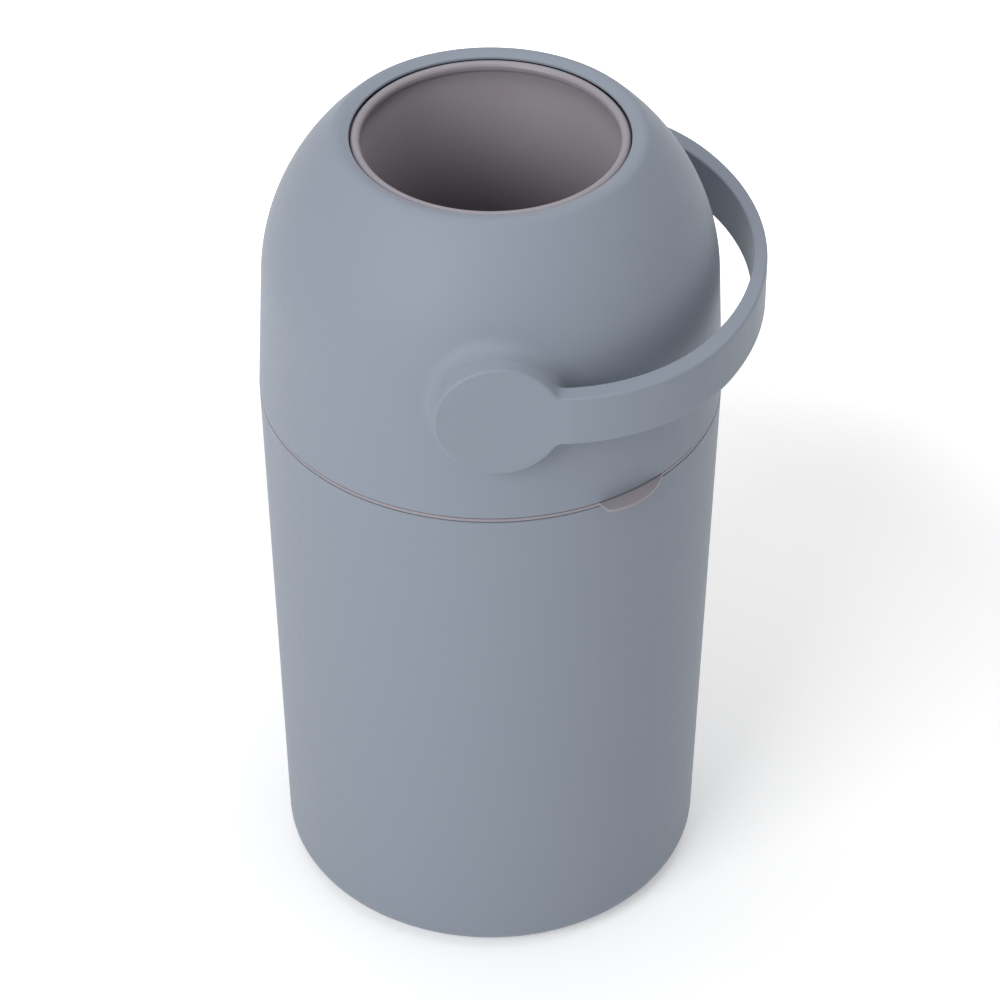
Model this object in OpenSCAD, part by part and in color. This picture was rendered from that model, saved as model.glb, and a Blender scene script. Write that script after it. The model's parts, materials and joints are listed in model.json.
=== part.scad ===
// Nappy bin with a turning drum: a tapered bucket, a hinged domed head, and a ball-shaped drum
// that the bail handle turns half a turn, so that a sliding piston pushes the nappy out below.
// Millimetres, +Z up. The origin is the centre of the foot on the floor. The drum turns about the
// Y axis direction, the front hub is at -Y, and the handle lies towards +X at rest.

/* [Overall] */
// Outside diameter at the seam between bucket and head
seam_d = 260; // [255:1:320]
// Height of the shadow gap above the floor
seam_z = 333; // [270:1:420]
// Height of the dome's crest above the shadow gap
dome_h = 163.2; // [155:0.1:200]
// Wall of the bucket and of the dome
wall = 3; // [2.4:0.1:3.6]

/* [Bucket] */
// Slope of the bucket's side, in degrees
bucket_draft = 1.34; // [0.8:0.01:2]
// Radius of the bucket's bottom edge
corner_r = 15; // [12:0.5:20]
// Thickness of the bucket's floor
floor_t = 4; // [3.5:0.1:6]
// Edge of the hollow under the floor
hollow_r = 88; // [70:1:92]
// How far the foot stands below the bucket
foot_proud = 0.6; // [0.4:0.1:1]
// Middle radius of the soft foot ring
foot_r = 100; // [98:1:101]
// Width of the soft foot ring
foot_w = 8; // [6:0.5:10]
// Depth of the groove that holds the foot ring
foot_groove = 1.8; // [1.4:0.1:2]

/* [Bag ring] */
// Depth of the bag ring's flange below the shadow gap
bag_drop = 15.6; // [14:0.1:24]
// Thickness of the bag ring
bag_t = 2.4; // [2:0.1:3]
// Height of the bag ring
bag_h = 14; // [10:0.5:18]
// Width of the bag ring's flange
bag_flange = 6.7; // [6:0.1:8]
// Width of the ledge that the flange rests on
ledge_w = 3.4; // [3:0.1:3.8]
// Thickness of the ledge
ledge_t = 2.5; // [2:0.1:4]

/* [Seam ring and thumb tongue] */
// Height of the dark gap between dome and seam ring
shadow_gap = 0.6; // [0.4:0.1:1]
// Thickness of the seam ring where it shows
ring_t = 2; // [1.8:0.1:2.6]
// Gap between the seam ring and the bucket's top edge
ring_gap = 0.45; // [0.35:0.05:0.8]
// Angle of the thumb tongue from the front hub, in degrees
tongue_az = 35; // [25:1:60]
// How far the tongue stands out from the seam ring
tongue_out = 9.5; // [7:0.5:12]
// Distance from the tongue's middle line to its blunt end
tongue_end = 21.8; // [18:0.1:26]
// Radius of the tongue's curved edge
tongue_edge_r = 40; // [34:1:60]
// How far the curved edge's centre is shifted towards the blunt end
tongue_shift = 6; // [3:0.5:9]
// Radius of the blunt end's corner
tongue_corner_r = 3; // [2:0.5:6]
// Depth of the skirt that centres the head in the bucket
skirt_h = 7.2; // [6:0.1:8]
// Height of the spigot that centres the dome on the seam ring
spigot_h = 8; // [6:0.5:10]

/* [Dome] */
// Slope of the dome's side, in degrees
dome_draft = 2.65; // [1.5:0.05:3.5]
// Radius of the lower shoulder
shoulder_r1 = 120; // [115:1:125]
// Angle at which the lower shoulder ends, in degrees
shoulder_a1 = 19; // [15:1:24]
// Radius of the upper shoulder
shoulder_r2 = 131; // [128:1:140]
// Radius of the round edge at the crest
crest_round = 7; // [5:0.5:9]
// Distance from the mouth's edge to the crest
crest_w = 5.6; // [4:0.1:8]
// Fall of the lip from the crest to the mouth's edge
lip_fall = 1.3; // [0.8:0.1:1.8]

/* [Mouth and drum] */
// Radius of the dome's mouth
mouth_r = 76.4; // [62:0.1:77]
// Gap between the mouth and the drum's rim
mouth_gap = 0.6; // [0.4:0.1:1.2]
// Depth of the rim's top below the dome's crest
rim_drop = 2.1; // [1.6:0.1:3]
// Width of the rounded rim
rim_w = 5.4; // [5:0.1:7]
// Height of the rim from its shoulder to its top
rim_h = 5.6; // [5:0.1:8]
// Distance from the drum's axis to the top of its rim
drum_half = 87; // [74:0.1:91]
// Wall of the drum's tube
tube_t = 2.4; // [2:0.1:3]
// Overhang of the rim inside the tube, which stops the piston
rim_lip = 2.2; // [1.8:0.1:2.6]
// Wall of the ball-shaped drum shell
ball_t = 2.4; // [2:0.1:3]
// Depth of the ball's surface below the circle that the rim sweeps
ball_under = 0.6; // [0.4:0.1:1]

/* [Piston] */
// Height of the whole piston
piston_h = 22; // [20:0.5:40]
// Wall of the piston's two shells
piston_t = 2.4; // [2:0.1:3]
// Depth of the dish in each face
dish_depth = 2.6; // [2:0.1:4]
// Thickness of the wiper seal
wiper_t = 2.8; // [2:0.1:4]
// Radius of the steel weight
weight_r = 40; // [30:1:44]
// Thickness of the steel weight
weight_t = 8; // [6:0.5:10]

/* [Hub and axle] */
// Radius of the round hub on the handle
hub_r = 34.3; // [28:0.1:42]
// Thickness of the round hub
hub_t = 10.6; // [8:0.1:12.2]
// How far the neck stands out from the dome at its lowest point
neck_proud = 2.2; // [0.2:0.1:3]
// Radius of the hollow curve between neck and dome
neck_flare = 9.6; // [6:0.2:12]
// Running gap between the hub and the neck
hub_gap = 0.5; // [0.4:0.1:1]
// How far the bearing boss stands in from the tightest spot of the dome's wall beside it
boss_in = 0.2; // [0.1:0.1:1]
// Radius of the axle where it runs in the bush
axle_r = 9; // [8:0.5:10]
// Radial running clearance of the axle in its bush
axle_fit = 0.05; // [0.03:0.01:0.08]
// Wall of the bush
bush_t = 3.45; // [3:0.05:4]
// Side of the axle's square end
drive_side = 12.4; // [11:0.1:12.4]
// Length of the square end
drive_len = 5; // [4:0.5:6]
// Width of the stop lug, in degrees
lug_angle = 20; // [16:1:30]
// Play of the lug at each stop, in degrees
lug_play = 0.5; // [0.3:0.1:1]

/* [Handle] */
// Width of the strap
strap_w = 30; // [24:0.5:36]
// Thickness of the strap beside the hub
strap_t = 11.2; // [9:0.1:13.5]
// Thickness of the strap at its far end
strap_far_t = 7.6; // [6.4:0.1:10]
// Gap for the fingers between the dome and the strap's far end
finger_gap = 17.8; // [14:0.1:30]
// Radius of the fillet where the strap leaves the hub
strap_fillet = 6.5; // [4:0.5:8]
// Offset of the outer corner curve's centre from the middle line
outer_c = 30.2; // [24:0.1:36]
// How much larger the outer far curve is than the outer corner curve
outer_more = 55.7; // [50:0.1:60]
// Offset of the inner corner curve's centre from the middle line
inner_c = 29; // [24:0.1:36]
// How much larger the inner far curve is than the inner corner curve
inner_more = 43.4; // [40:0.1:60]

/* [Hinge] */
// Distance of the hinge pin from the seam ring's edge
hinge_out = 5.2; // [4.9:0.1:7]
// Radius of the hinge knuckles
knuckle_r = 4.2; // [4:0.1:4.5]
// Radius of the hinge pin
pin_r = 2; // [1.5:0.1:2.2]
// Radial running clearance of the hinge pin
pin_fit = 0.05; // [0.03:0.01:0.08]
// Length of the head's knuckle
knuckle_len = 20; // [16:1:26]
// Length of each of the bucket's two knuckles
ear_len = 8; // [6:1:12]
// Height of the bracket's plate
bracket_h = 25; // [22:1:34]
// Thickness of the bracket's plate
bracket_t = 2.6; // [2.2:0.1:3.2]

/* [Clearances] */
// Gap between pieces that are fixed to each other
fit_gap = 0.1; // [0.05:0.05:0.2]
// Gap between the drum and the soft seals
seal_gap = 0.3; // [0.3:0.05:0.5]
// Gap between the drum's sweep and the dome
sweep_gap = 0.7; // [0.6:0.1:1]
// Gap between the wiper and the tube
wiper_gap = 0.3; // [0.3:0.05:0.5]

/* [Hidden] */
$fn = 96;

// Colours, as seen on the object
body_color = "#8f98a8";
mauve_color = "#958b94";
steel_color = "#b9bcc0";
rubber_color = "#3c3d42";
pale_color = "#d9dadc";

// Seam
seam_r = seam_d / 2;
ring_r = seam_r - 0.3;
ring_top = seam_z - shadow_gap / 2;
ring_bottom = ring_top - ring_t;
bucket_top = ring_bottom - ring_gap;
edge_round = 0.6;

// Bucket
bucket_slope = tan(bucket_draft);
bucket_top_r = seam_r - 0.1;
inner_floor = foot_proud + floor_t;
under_hollow = 1.2;

// Dome
crest_z = seam_z + dome_h;
crest_r = mouth_r + crest_w;
dome_foot = seam_z + shadow_gap / 2;

// Drum
rim_top = crest_z - rim_drop;
pivot_z = rim_top - drum_half;
rim_out_r = mouth_r - mouth_gap;
rim_in_r = rim_out_r - rim_w;
rim_bead = rim_w / 2;
rim_mid_r = rim_out_r - rim_bead;
rim_shoulder = drum_half - rim_h;
sweep_r = norm([rim_mid_r, drum_half - rim_bead]) + rim_bead;
ball_r = sweep_r - ball_under;
ball_in_r = ball_r - ball_t;
tube_in_r = rim_in_r + rim_lip;
tube_out_r = tube_in_r + tube_t;
lap_r = tube_in_r + tube_t / 2;
lap_h = 6;
seal_r = sweep_r + seal_gap;
free_r = sweep_r + sweep_gap;

// Hub and axle, as distances from the drum's centre along its axis
neck_face = dome_r(pivot_z - hub_r - seam_z) + neck_proud;
hub_back = neck_face + hub_gap;
hub_face = hub_back + hub_t;
strap_face = hub_back + strap_t;
bush_r = axle_r + axle_fit + bush_t;
boss_r = 24;
boss_face = boss_room() - boss_in;
pocket_r = hub_r - wall;
plate_t = 3;
plate_in = boss_face - fit_gap - plate_t;
lug_r = 14;
collar_r = lug_r + 0.2;
collar_face = plate_in - 0.8;
drum_boss_r = 25;
drum_boss_in = sqrt(ball_in_r * ball_in_r - drum_boss_r * drum_boss_r) - 3;
flange_t = 3;
flange_r = 22;
drive_end = hub_back + drive_len;

// Fasteners: radius of the shank and of the head, and the head's height
small_screw = [1.4, 2.8, 2];
hub_screw = [2.5, 4.5, 3.5];
shell_screw = [1.4, 2.8, 1.1];
shell_screw_len = 4.5;
shell_screw_r = rim_out_r + shell_screw[1] + 3.6;
shell_seat = ball_r - shell_screw[2] - 2 * fit_gap;
plate_screw_r = 20;
axle_screw_r = 18;
boss_screw_r = dome_r(0) - wall - 7.6;
boss_count = 6;
boss_h = 24;

// Throat under the drum
throat_r = mouth_r + 7.6;
funnel_r = free_r + 1.1;
funnel_t = 2.4;
throat_z = pivot_z - sqrt(funnel_r * funnel_r - throat_r * throat_r);

// Hinge
hinge_y = ring_r + hinge_out;
hinge_z = seam_z - 2.5;
ear_gap = 0.4;
ear_start = knuckle_len / 2 + ear_gap;
bracket_top = hinge_z - knuckle_r - 0.6;
bracket_screw_x = 13;
// The screw heads lie just under the bag ring's ledge
bracket_screw_z = seam_z - bag_drop - bag_t - ledge_t - ledge_w - small_screw[1] - 0.4;
// Gap between the rim of a flat screw head and the curved wall that it bears on
curved_seat_gap = 0.2;

// Piston, as heights above the drum's centre
piston_out_r = rim_in_r + rim_lip - 0.7;
piston_bottom = -rim_shoulder + 0.2;
piston_mid = piston_bottom + piston_h / 2;
piston_boss_r = 5;
piston_screw_r = piston_out_r - piston_boss_r - 10.9;

// Handle
strap_far_in = dome_r(pivot_z - seam_z) + finger_gap;
strap_far_out = strap_far_in + strap_far_t;
step_start = 24;
step_end = 40;
// How deep the strap's fillets bite into the hub and the strap, so that they cross cleanly
fillet_bite = 0.02;

// Points of an arc about c from angle a to angle b
function arc(c, r, a, b, n = 8) =
    [for (i = [0:n]) let (t = a + (b - a) * i / n) c + r * [cos(t), sin(t)]];

// Radius of the bucket's outside at height z
function bucket_r(z) = bucket_top_r - bucket_slope * (bucket_top - z);

// Radius of the dome's outside at height h above the seam, on its straight side
function dome_r(h) = seam_r - tan(dome_draft) * h;

// Radius of the dome's skin at height h above the seam, at the given inset below the outside
function skin_r(h, inset) =
    let (
        c1 = shoulder_c1(),
        c2 = shoulder_c2(),
        r1 = shoulder_r1 - inset,
        r2 = shoulder_r2 - inset
    )
    h < c1[1] + r1 * sin(dome_draft) ? dome_r(h) - inset / cos(dome_draft)
    : h < c1[1] + r1 * sin(shoulder_a1) ? c1[0] + sqrt(r1 * r1 - pow(h - c1[1], 2))
    : c2[0] + sqrt(r2 * r2 - pow(h - c2[1], 2));

// Least distance of the dome's inner skin from the middle plane, over the boss's outline
function boss_room() =
    min([for (a = [0:15:90])
        sqrt(pow(skin_r(pivot_z - seam_z + boss_r * sin(a), wall), 2) - pow(boss_r * cos(a), 2))]);

// Centre of the lower shoulder: its circle touches the straight side, and the upper shoulder that
// follows it touches the crest's round edge
function shoulder_c1() =
    let (
        n = [cos(dome_draft), sin(dome_draft)],
        m = [-n[1], n[0]],
        base = (seam_r * n[0] - shoulder_r1) * n,
        step = (shoulder_r1 - shoulder_r2) * [cos(shoulder_a1), sin(shoulder_a1)],
        crest_c = [crest_r, dome_h - crest_round],
        q = base + step - crest_c,
        b = q * m,
        c = q * q - pow(shoulder_r2 - crest_round, 2)
    )
    base + (-b - sqrt(b * b - c)) * m;

// Centre of the upper shoulder, whose circle touches the lower one where that ends
function shoulder_c2() =
    shoulder_c1() + (shoulder_r1 - shoulder_r2) * [cos(shoulder_a1), sin(shoulder_a1)];

// Section of the dome's outside, or of a skin that lies inset below it, closed to the axis
function dome_section(inset, lip) =
    let (
        c1 = shoulder_c1(),
        c2 = shoulder_c2(),
        c3 = [crest_r, dome_h - crest_round],
        d = c3 - c2,
        a2 = atan2(d[1], d[0])
    )
    concat(
        [[0, -20], [seam_r - inset / cos(dome_draft) + 20 * tan(dome_draft), -20]],
        arc(c1, shoulder_r1 - inset, dome_draft, shoulder_a1, 4),
        arc(c2, shoulder_r2 - inset, shoulder_a1, a2, 6),
        arc(c3, crest_round - inset, a2, 90, 5),
        [[mouth_r - 2, lip], [0, lip]]
    );

// Section of the bucket's outside, or of its inside at the given inset and floor height
function bucket_section(inset, bottom, round) =
    let (
        n = [cos(bucket_draft), -sin(bucket_draft)],
        cz = bottom + round,
        off = n * [bucket_r(0), 0] - inset - round,
        c = [(off - n[1] * cz) / n[0], cz]
    )
    concat(
        [[0, bottom]],
        arc(c, round, -90, -bucket_draft, 8),
        [[bucket_r(bucket_top + 10) - inset / n[0], bucket_top + 10], [0, bucket_top + 10]]
    );

// A piece that turns with the drum axis: drawn in X and Z, growing outwards from distance d at the front
module at_front(d) {
    translate([0, -d, pivot_z])
        rotate([90, 0, 0])
            children();
}

// The same at the rear hub
module at_rear(d) {
    mirror([0, 1, 0])
        at_front(d)
            children();
}

// Turns a piece drawn with the tongue at -Y and the hinge at +Y into its place
module about_tongue() {
    rotate([0, 0, tongue_az])
        children();
}

// A flat ring
module washer(inner, outer, height) {
    rotate_extrude()
        translate([inner, 0])
            square([outer - inner, height]);
}

// A screw along +Z with its head below z = 0
module screw(kind, length) {
    cylinder(r = kind[0], h = length);
    difference() {
        translate([0, 0, -kind[2]])
            cylinder(r = kind[1], h = kind[2]);
        translate([0, 0, -kind[2] - 1])
            cylinder(r = kind[1] * 0.5, h = 1 + kind[2] * 0.6, $fn = 6);
    }
}

// Tapered bucket with the bag ring's ledge, the foot groove and the snap groove
module bucket() {
    color(body_color)
        difference() {
            union() {
                difference() {
                    rotate_extrude()
                        polygon(bucket_section(0, foot_proud, corner_r));
                    rotate_extrude()
                        polygon(bucket_section(wall, inner_floor, corner_r - wall));
                }
                bag_ledge();
            }
            translate([0, 0, bucket_top])
                cylinder(r = seam_d, h = 40);
            translate([0, 0, foot_proud - 1])
                cylinder(r = hollow_r, h = 1 + under_hollow);
            translate([0, 0, foot_proud - 1])
                washer(foot_r - foot_w / 2 - fit_gap, foot_r + foot_w / 2 + fit_gap, 1 + foot_groove);
            snap_groove();
            about_tongue()
                for (side = [-1, 1])
                    translate([side * bracket_screw_x, 0, bracket_screw_z])
                        rotate([-90, 0, 0])
                            cylinder(r = small_screw[0] + fit_gap, h = seam_d);
        }
}

// Ledge inside the bucket, under the bag ring's flange
module bag_ledge() {
    top = seam_z - bag_drop - bag_t;
    out = bucket_r(top) - wall + 0.5;
    in = bucket_r(top) - wall - ledge_w;
    rotate_extrude()
        polygon([[in, top], [out, top], [out, top - ledge_t - ledge_w], [in, top - ledge_t]]);
}

// Groove inside the bucket's top edge that the head's snap bead sits in
module snap_groove() {
    z = ring_bottom - skirt_h + 1;
    rotate_extrude()
        translate([bucket_r(z) - wall + 0.6, z])
            circle(r = 1.1);
}

// Soft ring that the bin stands on
module foot_ring() {
    color(rubber_color)
        washer(foot_r - foot_w / 2, foot_r + foot_w / 2, foot_proud + foot_groove);
}

// Ring that the bag's edge is folded over
module bag_ring() {
    flange_z = seam_z - bag_drop - bag_t;
    out = bucket_r(flange_z) - wall - 0.4;
    in = out - bag_flange;
    color(mauve_color)
        difference() {
            union() {
                translate([0, 0, flange_z])
                    washer(in, out, bag_t);
                translate([0, 0, flange_z + bag_t - bag_h])
                    washer(in, in + bag_t, bag_h);
            }
            for (a = [0, 180])
                rotate([0, 0, a])
                    translate([0, in, flange_z - 3])
                        rotate([90, 0, 0])
                            cylinder(r = 6, h = 20, center = true);
        }
}

// Bucket half of the hinge: a plate on the wall and two knuckles
module hinge_bracket() {
    half = ear_start + ear_len;
    low = bracket_top - bracket_h;
    color(mauve_color)
        about_tongue()
            difference() {
                union() {
                    intersection() {
                        rotate_extrude()
                            polygon([
                                [bucket_r(low) + fit_gap, low],
                                [bucket_r(low) + fit_gap + bracket_t, low],
                                [bucket_r(bracket_top) + fit_gap + bracket_t, bracket_top],
                                [bucket_r(bracket_top) + fit_gap, bracket_top]
                            ]);
                        translate([-half, 0, low - 1])
                            cube([2 * half, seam_d, bracket_h + 2]);
                    }
                    for (side = [-1, 1])
                        translate([side * (ear_start + ear_len / 2), 0, 0])
                            hinge_ear();
                }
                hinge_axis(half + 1)
                    cylinder(r = pin_r + pin_fit, h = 2 * half + 2);
                for (side = [-1, 1])
                    translate([side * bracket_screw_x, ring_r - 4, bracket_screw_z])
                        rotate([-90, 0, 0])
                            cylinder(r = small_screw[0] + fit_gap, h = 20);
            }
}

// One knuckle of the bracket with the web below it
module hinge_ear() {
    web_top = hinge_z;
    web_low = hinge_z - 3 * knuckle_r;
    back = bucket_r(web_low) + fit_gap;
    translate([-ear_len / 2, 0, 0])
        rotate([90, 0, 90])
            linear_extrude(ear_len)
                polygon([
                    [back + 0.5, web_low],
                    [back + bracket_t, web_low],
                    [hinge_y + knuckle_r, web_top],
                    [hinge_y - knuckle_r, web_top],
                    [back + 0.5, bracket_top]
                ]);
    translate([-ear_len / 2, hinge_y, hinge_z])
        rotate([0, 90, 0])
            cylinder(r = knuckle_r, h = ear_len);
}

// Lays a cylinder along the hinge's axis, starting at -start
module hinge_axis(start) {
    translate([-start, hinge_y, hinge_z])
        rotate([0, 90, 0])
            children();
}

// Steel pin through the three knuckles
module hinge_pin() {
    half = ear_start + ear_len;
    color(steel_color)
        about_tongue()
            hinge_axis(half)
                cylinder(r = pin_r, h = 2 * half);
}

// Screws that hold the bracket, put in from inside the bucket
module hinge_screws() {
    reach = bracket_screw_x + small_screw[1];
    inside_r = bucket_r(bracket_screw_z - small_screw[1]) - wall;
    start = sqrt(inside_r * inside_r - reach * reach) - curved_seat_gap;
    color(steel_color)
        about_tongue()
            for (side = [-1, 1])
                translate([side * bracket_screw_x, start, bracket_screw_z])
                    rotate([-90, 0, 0])
                        screw(small_screw, wall + 2.6);
}

// Domed shell with a neck and a bearing boss at each hub
module dome() {
    color(body_color)
        difference() {
            union() {
                difference() {
                    union() {
                        dome_solid(0, dome_h - lip_fall);
                        for (side = [0, 1])
                            mirror([0, side, 0])
                                hub_neck();
                    }
                    difference() {
                        dome_solid(wall, dome_h - wall);
                        for (side = [0, 1])
                            mirror([0, side, 0])
                                hub_boss();
                    }
                    for (side = [0, 1])
                        mirror([0, side, 0])
                            neck_pocket();
                }
                gasket_ribs();
                screw_bosses();
            }
            cylinder(r = mouth_r, h = crest_z + 10);
            translate([0, 0, pivot_z])
                sphere(r = free_r);
            cylinder(r = seam_d, h = ring_top);
            difference() {
                cylinder(r = seam_d, h = dome_foot);
                translate([0, 0, ring_top - 1])
                    cylinder(r = seam_r - wall - 2, h = 5);
            }
            for (side = [0, 1])
                mirror([0, side, 0])
                    hub_bores();
            boss_places()
                translate([0, 0, ring_top - 1])
                    cylinder(r = small_screw[0] + fit_gap, h = 14);
        }
}

// Solid of the dome's outside, or of the hollow at the given inset
module dome_solid(inset, lip) {
    translate([0, 0, seam_z])
        rotate_extrude()
            polygon(dome_section(inset, lip));
}

// Round neck with a hollow curve where it meets the dome
module hub_neck() {
    depth = 30;
    at_front(neck_face - depth)
        rotate_extrude()
            difference() {
                square([hub_r + neck_flare, depth]);
                translate([hub_r + neck_flare, depth - 0.5])
                    circle(r = neck_flare);
                translate([hub_r, depth - 0.5])
                    square([neck_flare + 1, 1]);
            }
}

// Boss inside the dome that carries the bush and the stop plate
module hub_boss() {
    at_front(boss_face)
        cylinder(r = boss_r, h = 20);
}

// Hollow inside the neck, around the boss
module neck_pocket() {
    at_front(boss_face - 20)
        washer(boss_r, pocket_r, neck_face - wall - boss_face + 20);
}

// Bush bore and stop plate screw holes through one boss
module hub_bores() {
    at_front(boss_face - 10)
        cylinder(r = bush_r + fit_gap / 2, h = 30);
    at_front(boss_face - 10)
        plate_screw_places()
            cylinder(r = small_screw[0] + fit_gap, h = 15);
}

// The three screw places of a stop plate
module plate_screw_places() {
    for (a = [90, 210, 330])
        rotate([0, 0, a])
            translate([plate_screw_r, 0, 0])
                children();
}

// Two rings under the dome's top that hold the mouth gasket
module gasket_ribs() {
    rib_t = 1.6;
    intersection() {
        dome_solid(wall / 2, dome_h - wall / 2);
        translate([0, 0, pivot_z])
            union() {
                washer(mouth_r + 6.6, mouth_r + 6.6 + rib_t, 200);
                washer(mouth_r + 18.6, mouth_r + 18.6 + rib_t, 200);
            }
    }
}

// Bosses for the chassis screws, each with a rib to the wall
module screw_bosses() {
    boss_places() {
        translate([0, 0, ring_top])
            cylinder(r = 4.5, h = boss_h);
        translate([0, -1.2, ring_top + spigot_h + 1])
            cube([dome_r(boss_h) - wall / 2 - boss_screw_r, 2.4, boss_h - spigot_h - 1]);
    }
}

// Places something at each chassis screw
module boss_places() {
    for (i = [0:boss_count - 1])
        rotate([0, 0, 30 + i * 360 / boss_count])
            translate([boss_screw_r, 0, 0])
                children();
}

// Seam ring: the head's chassis, with spigot, skirt, throat, thumb tongue and hinge knuckle
module seam_ring() {
    low = min(ring_bottom, throat_z);
    high = max(ring_top, throat_z + funnel_t);
    wall_in = sqrt(pow(funnel_r + funnel_t, 2) - pow(pivot_z - throat_z, 2));
    color(mauve_color)
        difference() {
            union() {
                translate([0, 0, ring_bottom])
                    washer(throat_r, ring_r, ring_t);
                translate([0, 0, ring_top - 0.01])
                    washer(spigot_r() - 2.2, spigot_r(), spigot_h);
                translate([0, 0, ring_bottom - skirt_h])
                    washer(skirt_r() - 2.3, skirt_r(), skirt_h);
                snap_bead();
                about_tongue() {
                    thumb_tongue();
                    head_knuckle();
                }
                translate([0, 0, low])
                    cylinder(r = wall_in, h = high - low);
                intersection() {
                    translate([0, 0, pivot_z])
                        sphere(r = funnel_r + funnel_t);
                    translate([0, 0, low])
                        cylinder(r = seam_r - wall - 4, h = high - low);
                }
            }
            translate([0, 0, pivot_z])
                sphere(r = funnel_r);
            cylinder(r = throat_r, h = pivot_z);
            boss_places()
                translate([0, 0, ring_bottom - 1])
                    cylinder(r = small_screw[0] + fit_gap, h = ring_t + 2);
        }
}

// Outer radius of the spigot inside the dome's foot
function spigot_r() = dome_r(spigot_h) - wall - 0.3;

// Outer radius of the skirt inside the bucket's top
function skirt_r() = bucket_r(ring_bottom - skirt_h) - wall - 0.45;

// Small bead on the skirt that snaps into the bucket's groove beside the tongue
module snap_bead() {
    z = ring_bottom - skirt_h + 1;
    about_tongue()
        intersection() {
            rotate_extrude()
                translate([skirt_r(), z])
                    circle(r = 0.8);
            translate([-10, -seam_d, z - 2])
                cube([20, seam_d, 4]);
        }
}

// Flat tongue under the dome's edge, for the thumb: blunt at one end, running out into the ring at
// the other
module thumb_tongue() {
    c1 = [-tongue_shift, tongue_edge_r - ring_r - tongue_out];
    x2 = tongue_corner_r - tongue_end;
    dx = x2 - c1[0];
    c2 = [x2, c1[1] - sqrt(pow(tongue_edge_r - tongue_corner_r, 2) - dx * dx)];
    a = atan2(c2[1] - c1[1], dx);
    edge = arc(c1, tongue_edge_r, a, -40, 12);
    inside = -(ring_r - 8);
    translate([0, 0, ring_bottom])
        linear_extrude(ring_t)
            polygon(concat(
                [[-tongue_end, inside]],
                arc(c2, tongue_corner_r, -180, a, 5),
                edge,
                [[edge[12][0], inside]]
            ));
}

// The head's knuckle, between the bracket's two
module head_knuckle() {
    difference() {
        union() {
            hinge_axis(knuckle_len / 2)
                cylinder(r = knuckle_r, h = knuckle_len);
            translate([-knuckle_len / 2, ring_r - 4, ring_bottom])
                cube([knuckle_len, hinge_out + 4, ring_t]);
        }
        hinge_axis(knuckle_len)
            cylinder(r = pin_r + pin_fit, h = 2 * knuckle_len);
    }
}

// Screws that hold the dome on the seam ring, put in from below
module chassis_screws() {
    color(steel_color)
        boss_places()
            translate([0, 0, ring_bottom - fit_gap])
                screw(small_screw, 12);
}

// Soft ring under the dome's top that brushes the ball
module mouth_gasket() {
    in = mouth_r + 8.3;
    out = mouth_r + 18.5;
    color(rubber_color)
        difference() {
            intersection() {
                dome_solid(wall + fit_gap, dome_h - wall - fit_gap);
                translate([0, 0, pivot_z])
                    washer(in, out, 200);
            }
            translate([0, 0, pivot_z])
                sphere(r = seal_r);
        }
}

// Soft channel on the throat's edge that brushes the ball from below
module throat_gasket() {
    grip = 2;
    in = throat_r - 4;
    out = throat_r + 3;
    low = pivot_z - sqrt(pow(funnel_r + funnel_t + grip, 2) - in * in);
    color(rubber_color)
        difference() {
            intersection() {
                translate([0, 0, pivot_z])
                    sphere(r = funnel_r + funnel_t + grip);
                translate([0, 0, low])
                    washer(in, out, 40);
            }
            translate([0, 0, pivot_z])
                sphere(r = seal_r);
            intersection() {
                translate([0, 0, pivot_z])
                    sphere(r = funnel_r + funnel_t + fit_gap);
                translate([0, 0, throat_z - 40])
                    washer(throat_r - fit_gap, throat_r + 30, 80);
            }
            translate([0, 0, throat_z + funnel_t + grip])
                cylinder(r = seam_d, h = 80);
            if (throat_z > ring_bottom)
                translate([0, 0, ring_bottom - 40])
                    washer(throat_r - fit_gap, throat_r + 30, throat_z - ring_bottom + 40 + fit_gap);
        }
}

// Plain bush in the dome's boss
module bush() {
    at_front(boss_face)
        washer(axle_r + axle_fit, bush_r, neck_face - boss_face - fit_gap);
}

module bush_front() {
    color(pale_color)
        bush();
}

module bush_rear() {
    color(pale_color)
        mirror([0, 1, 0])
            bush();
}

// Plate with a curved slot that lets the axle's lug travel half a turn
module stop_plate() {
    slot_half = 90 + lug_angle / 2 + lug_play;
    block_half = 180 - slot_half;
    at_front(plate_in)
        difference() {
            cylinder(r = boss_r, h = plate_t);
            translate([0, 0, -1])
                cylinder(r = axle_r + 0.3, h = plate_t + 2);
            translate([0, 0, -1])
                linear_extrude(plate_t + 2)
                    difference() {
                        circle(r = lug_r + 0.4);
                        polygon([
                            [0, 0],
                            2 * boss_r * [cos(180 - block_half), sin(180 - block_half)],
                            [-2 * boss_r, 2 * boss_r * sin(block_half)],
                            [-2 * boss_r, -2 * boss_r * sin(block_half)],
                            2 * boss_r * [cos(180 + block_half), sin(180 + block_half)]
                        ]);
                    }
            plate_screw_places()
                translate([0, 0, -1])
                    cylinder(r = small_screw[0] + fit_gap, h = plate_t + 2);
        }
}

module stop_plate_front() {
    color(pale_color)
        stop_plate();
}

module stop_plate_rear() {
    color(pale_color)
        mirror([0, 1, 0])
            stop_plate();
}

// Screws of both stop plates
module stop_plate_screws() {
    flat_screw = [small_screw[0], small_screw[1], 1.2];
    color(steel_color)
        for (side = [0, 1])
            mirror([0, side, 0])
                at_front(plate_in - fit_gap)
                    plate_screw_places()
                        screw(flat_screw, 8);
}

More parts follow.
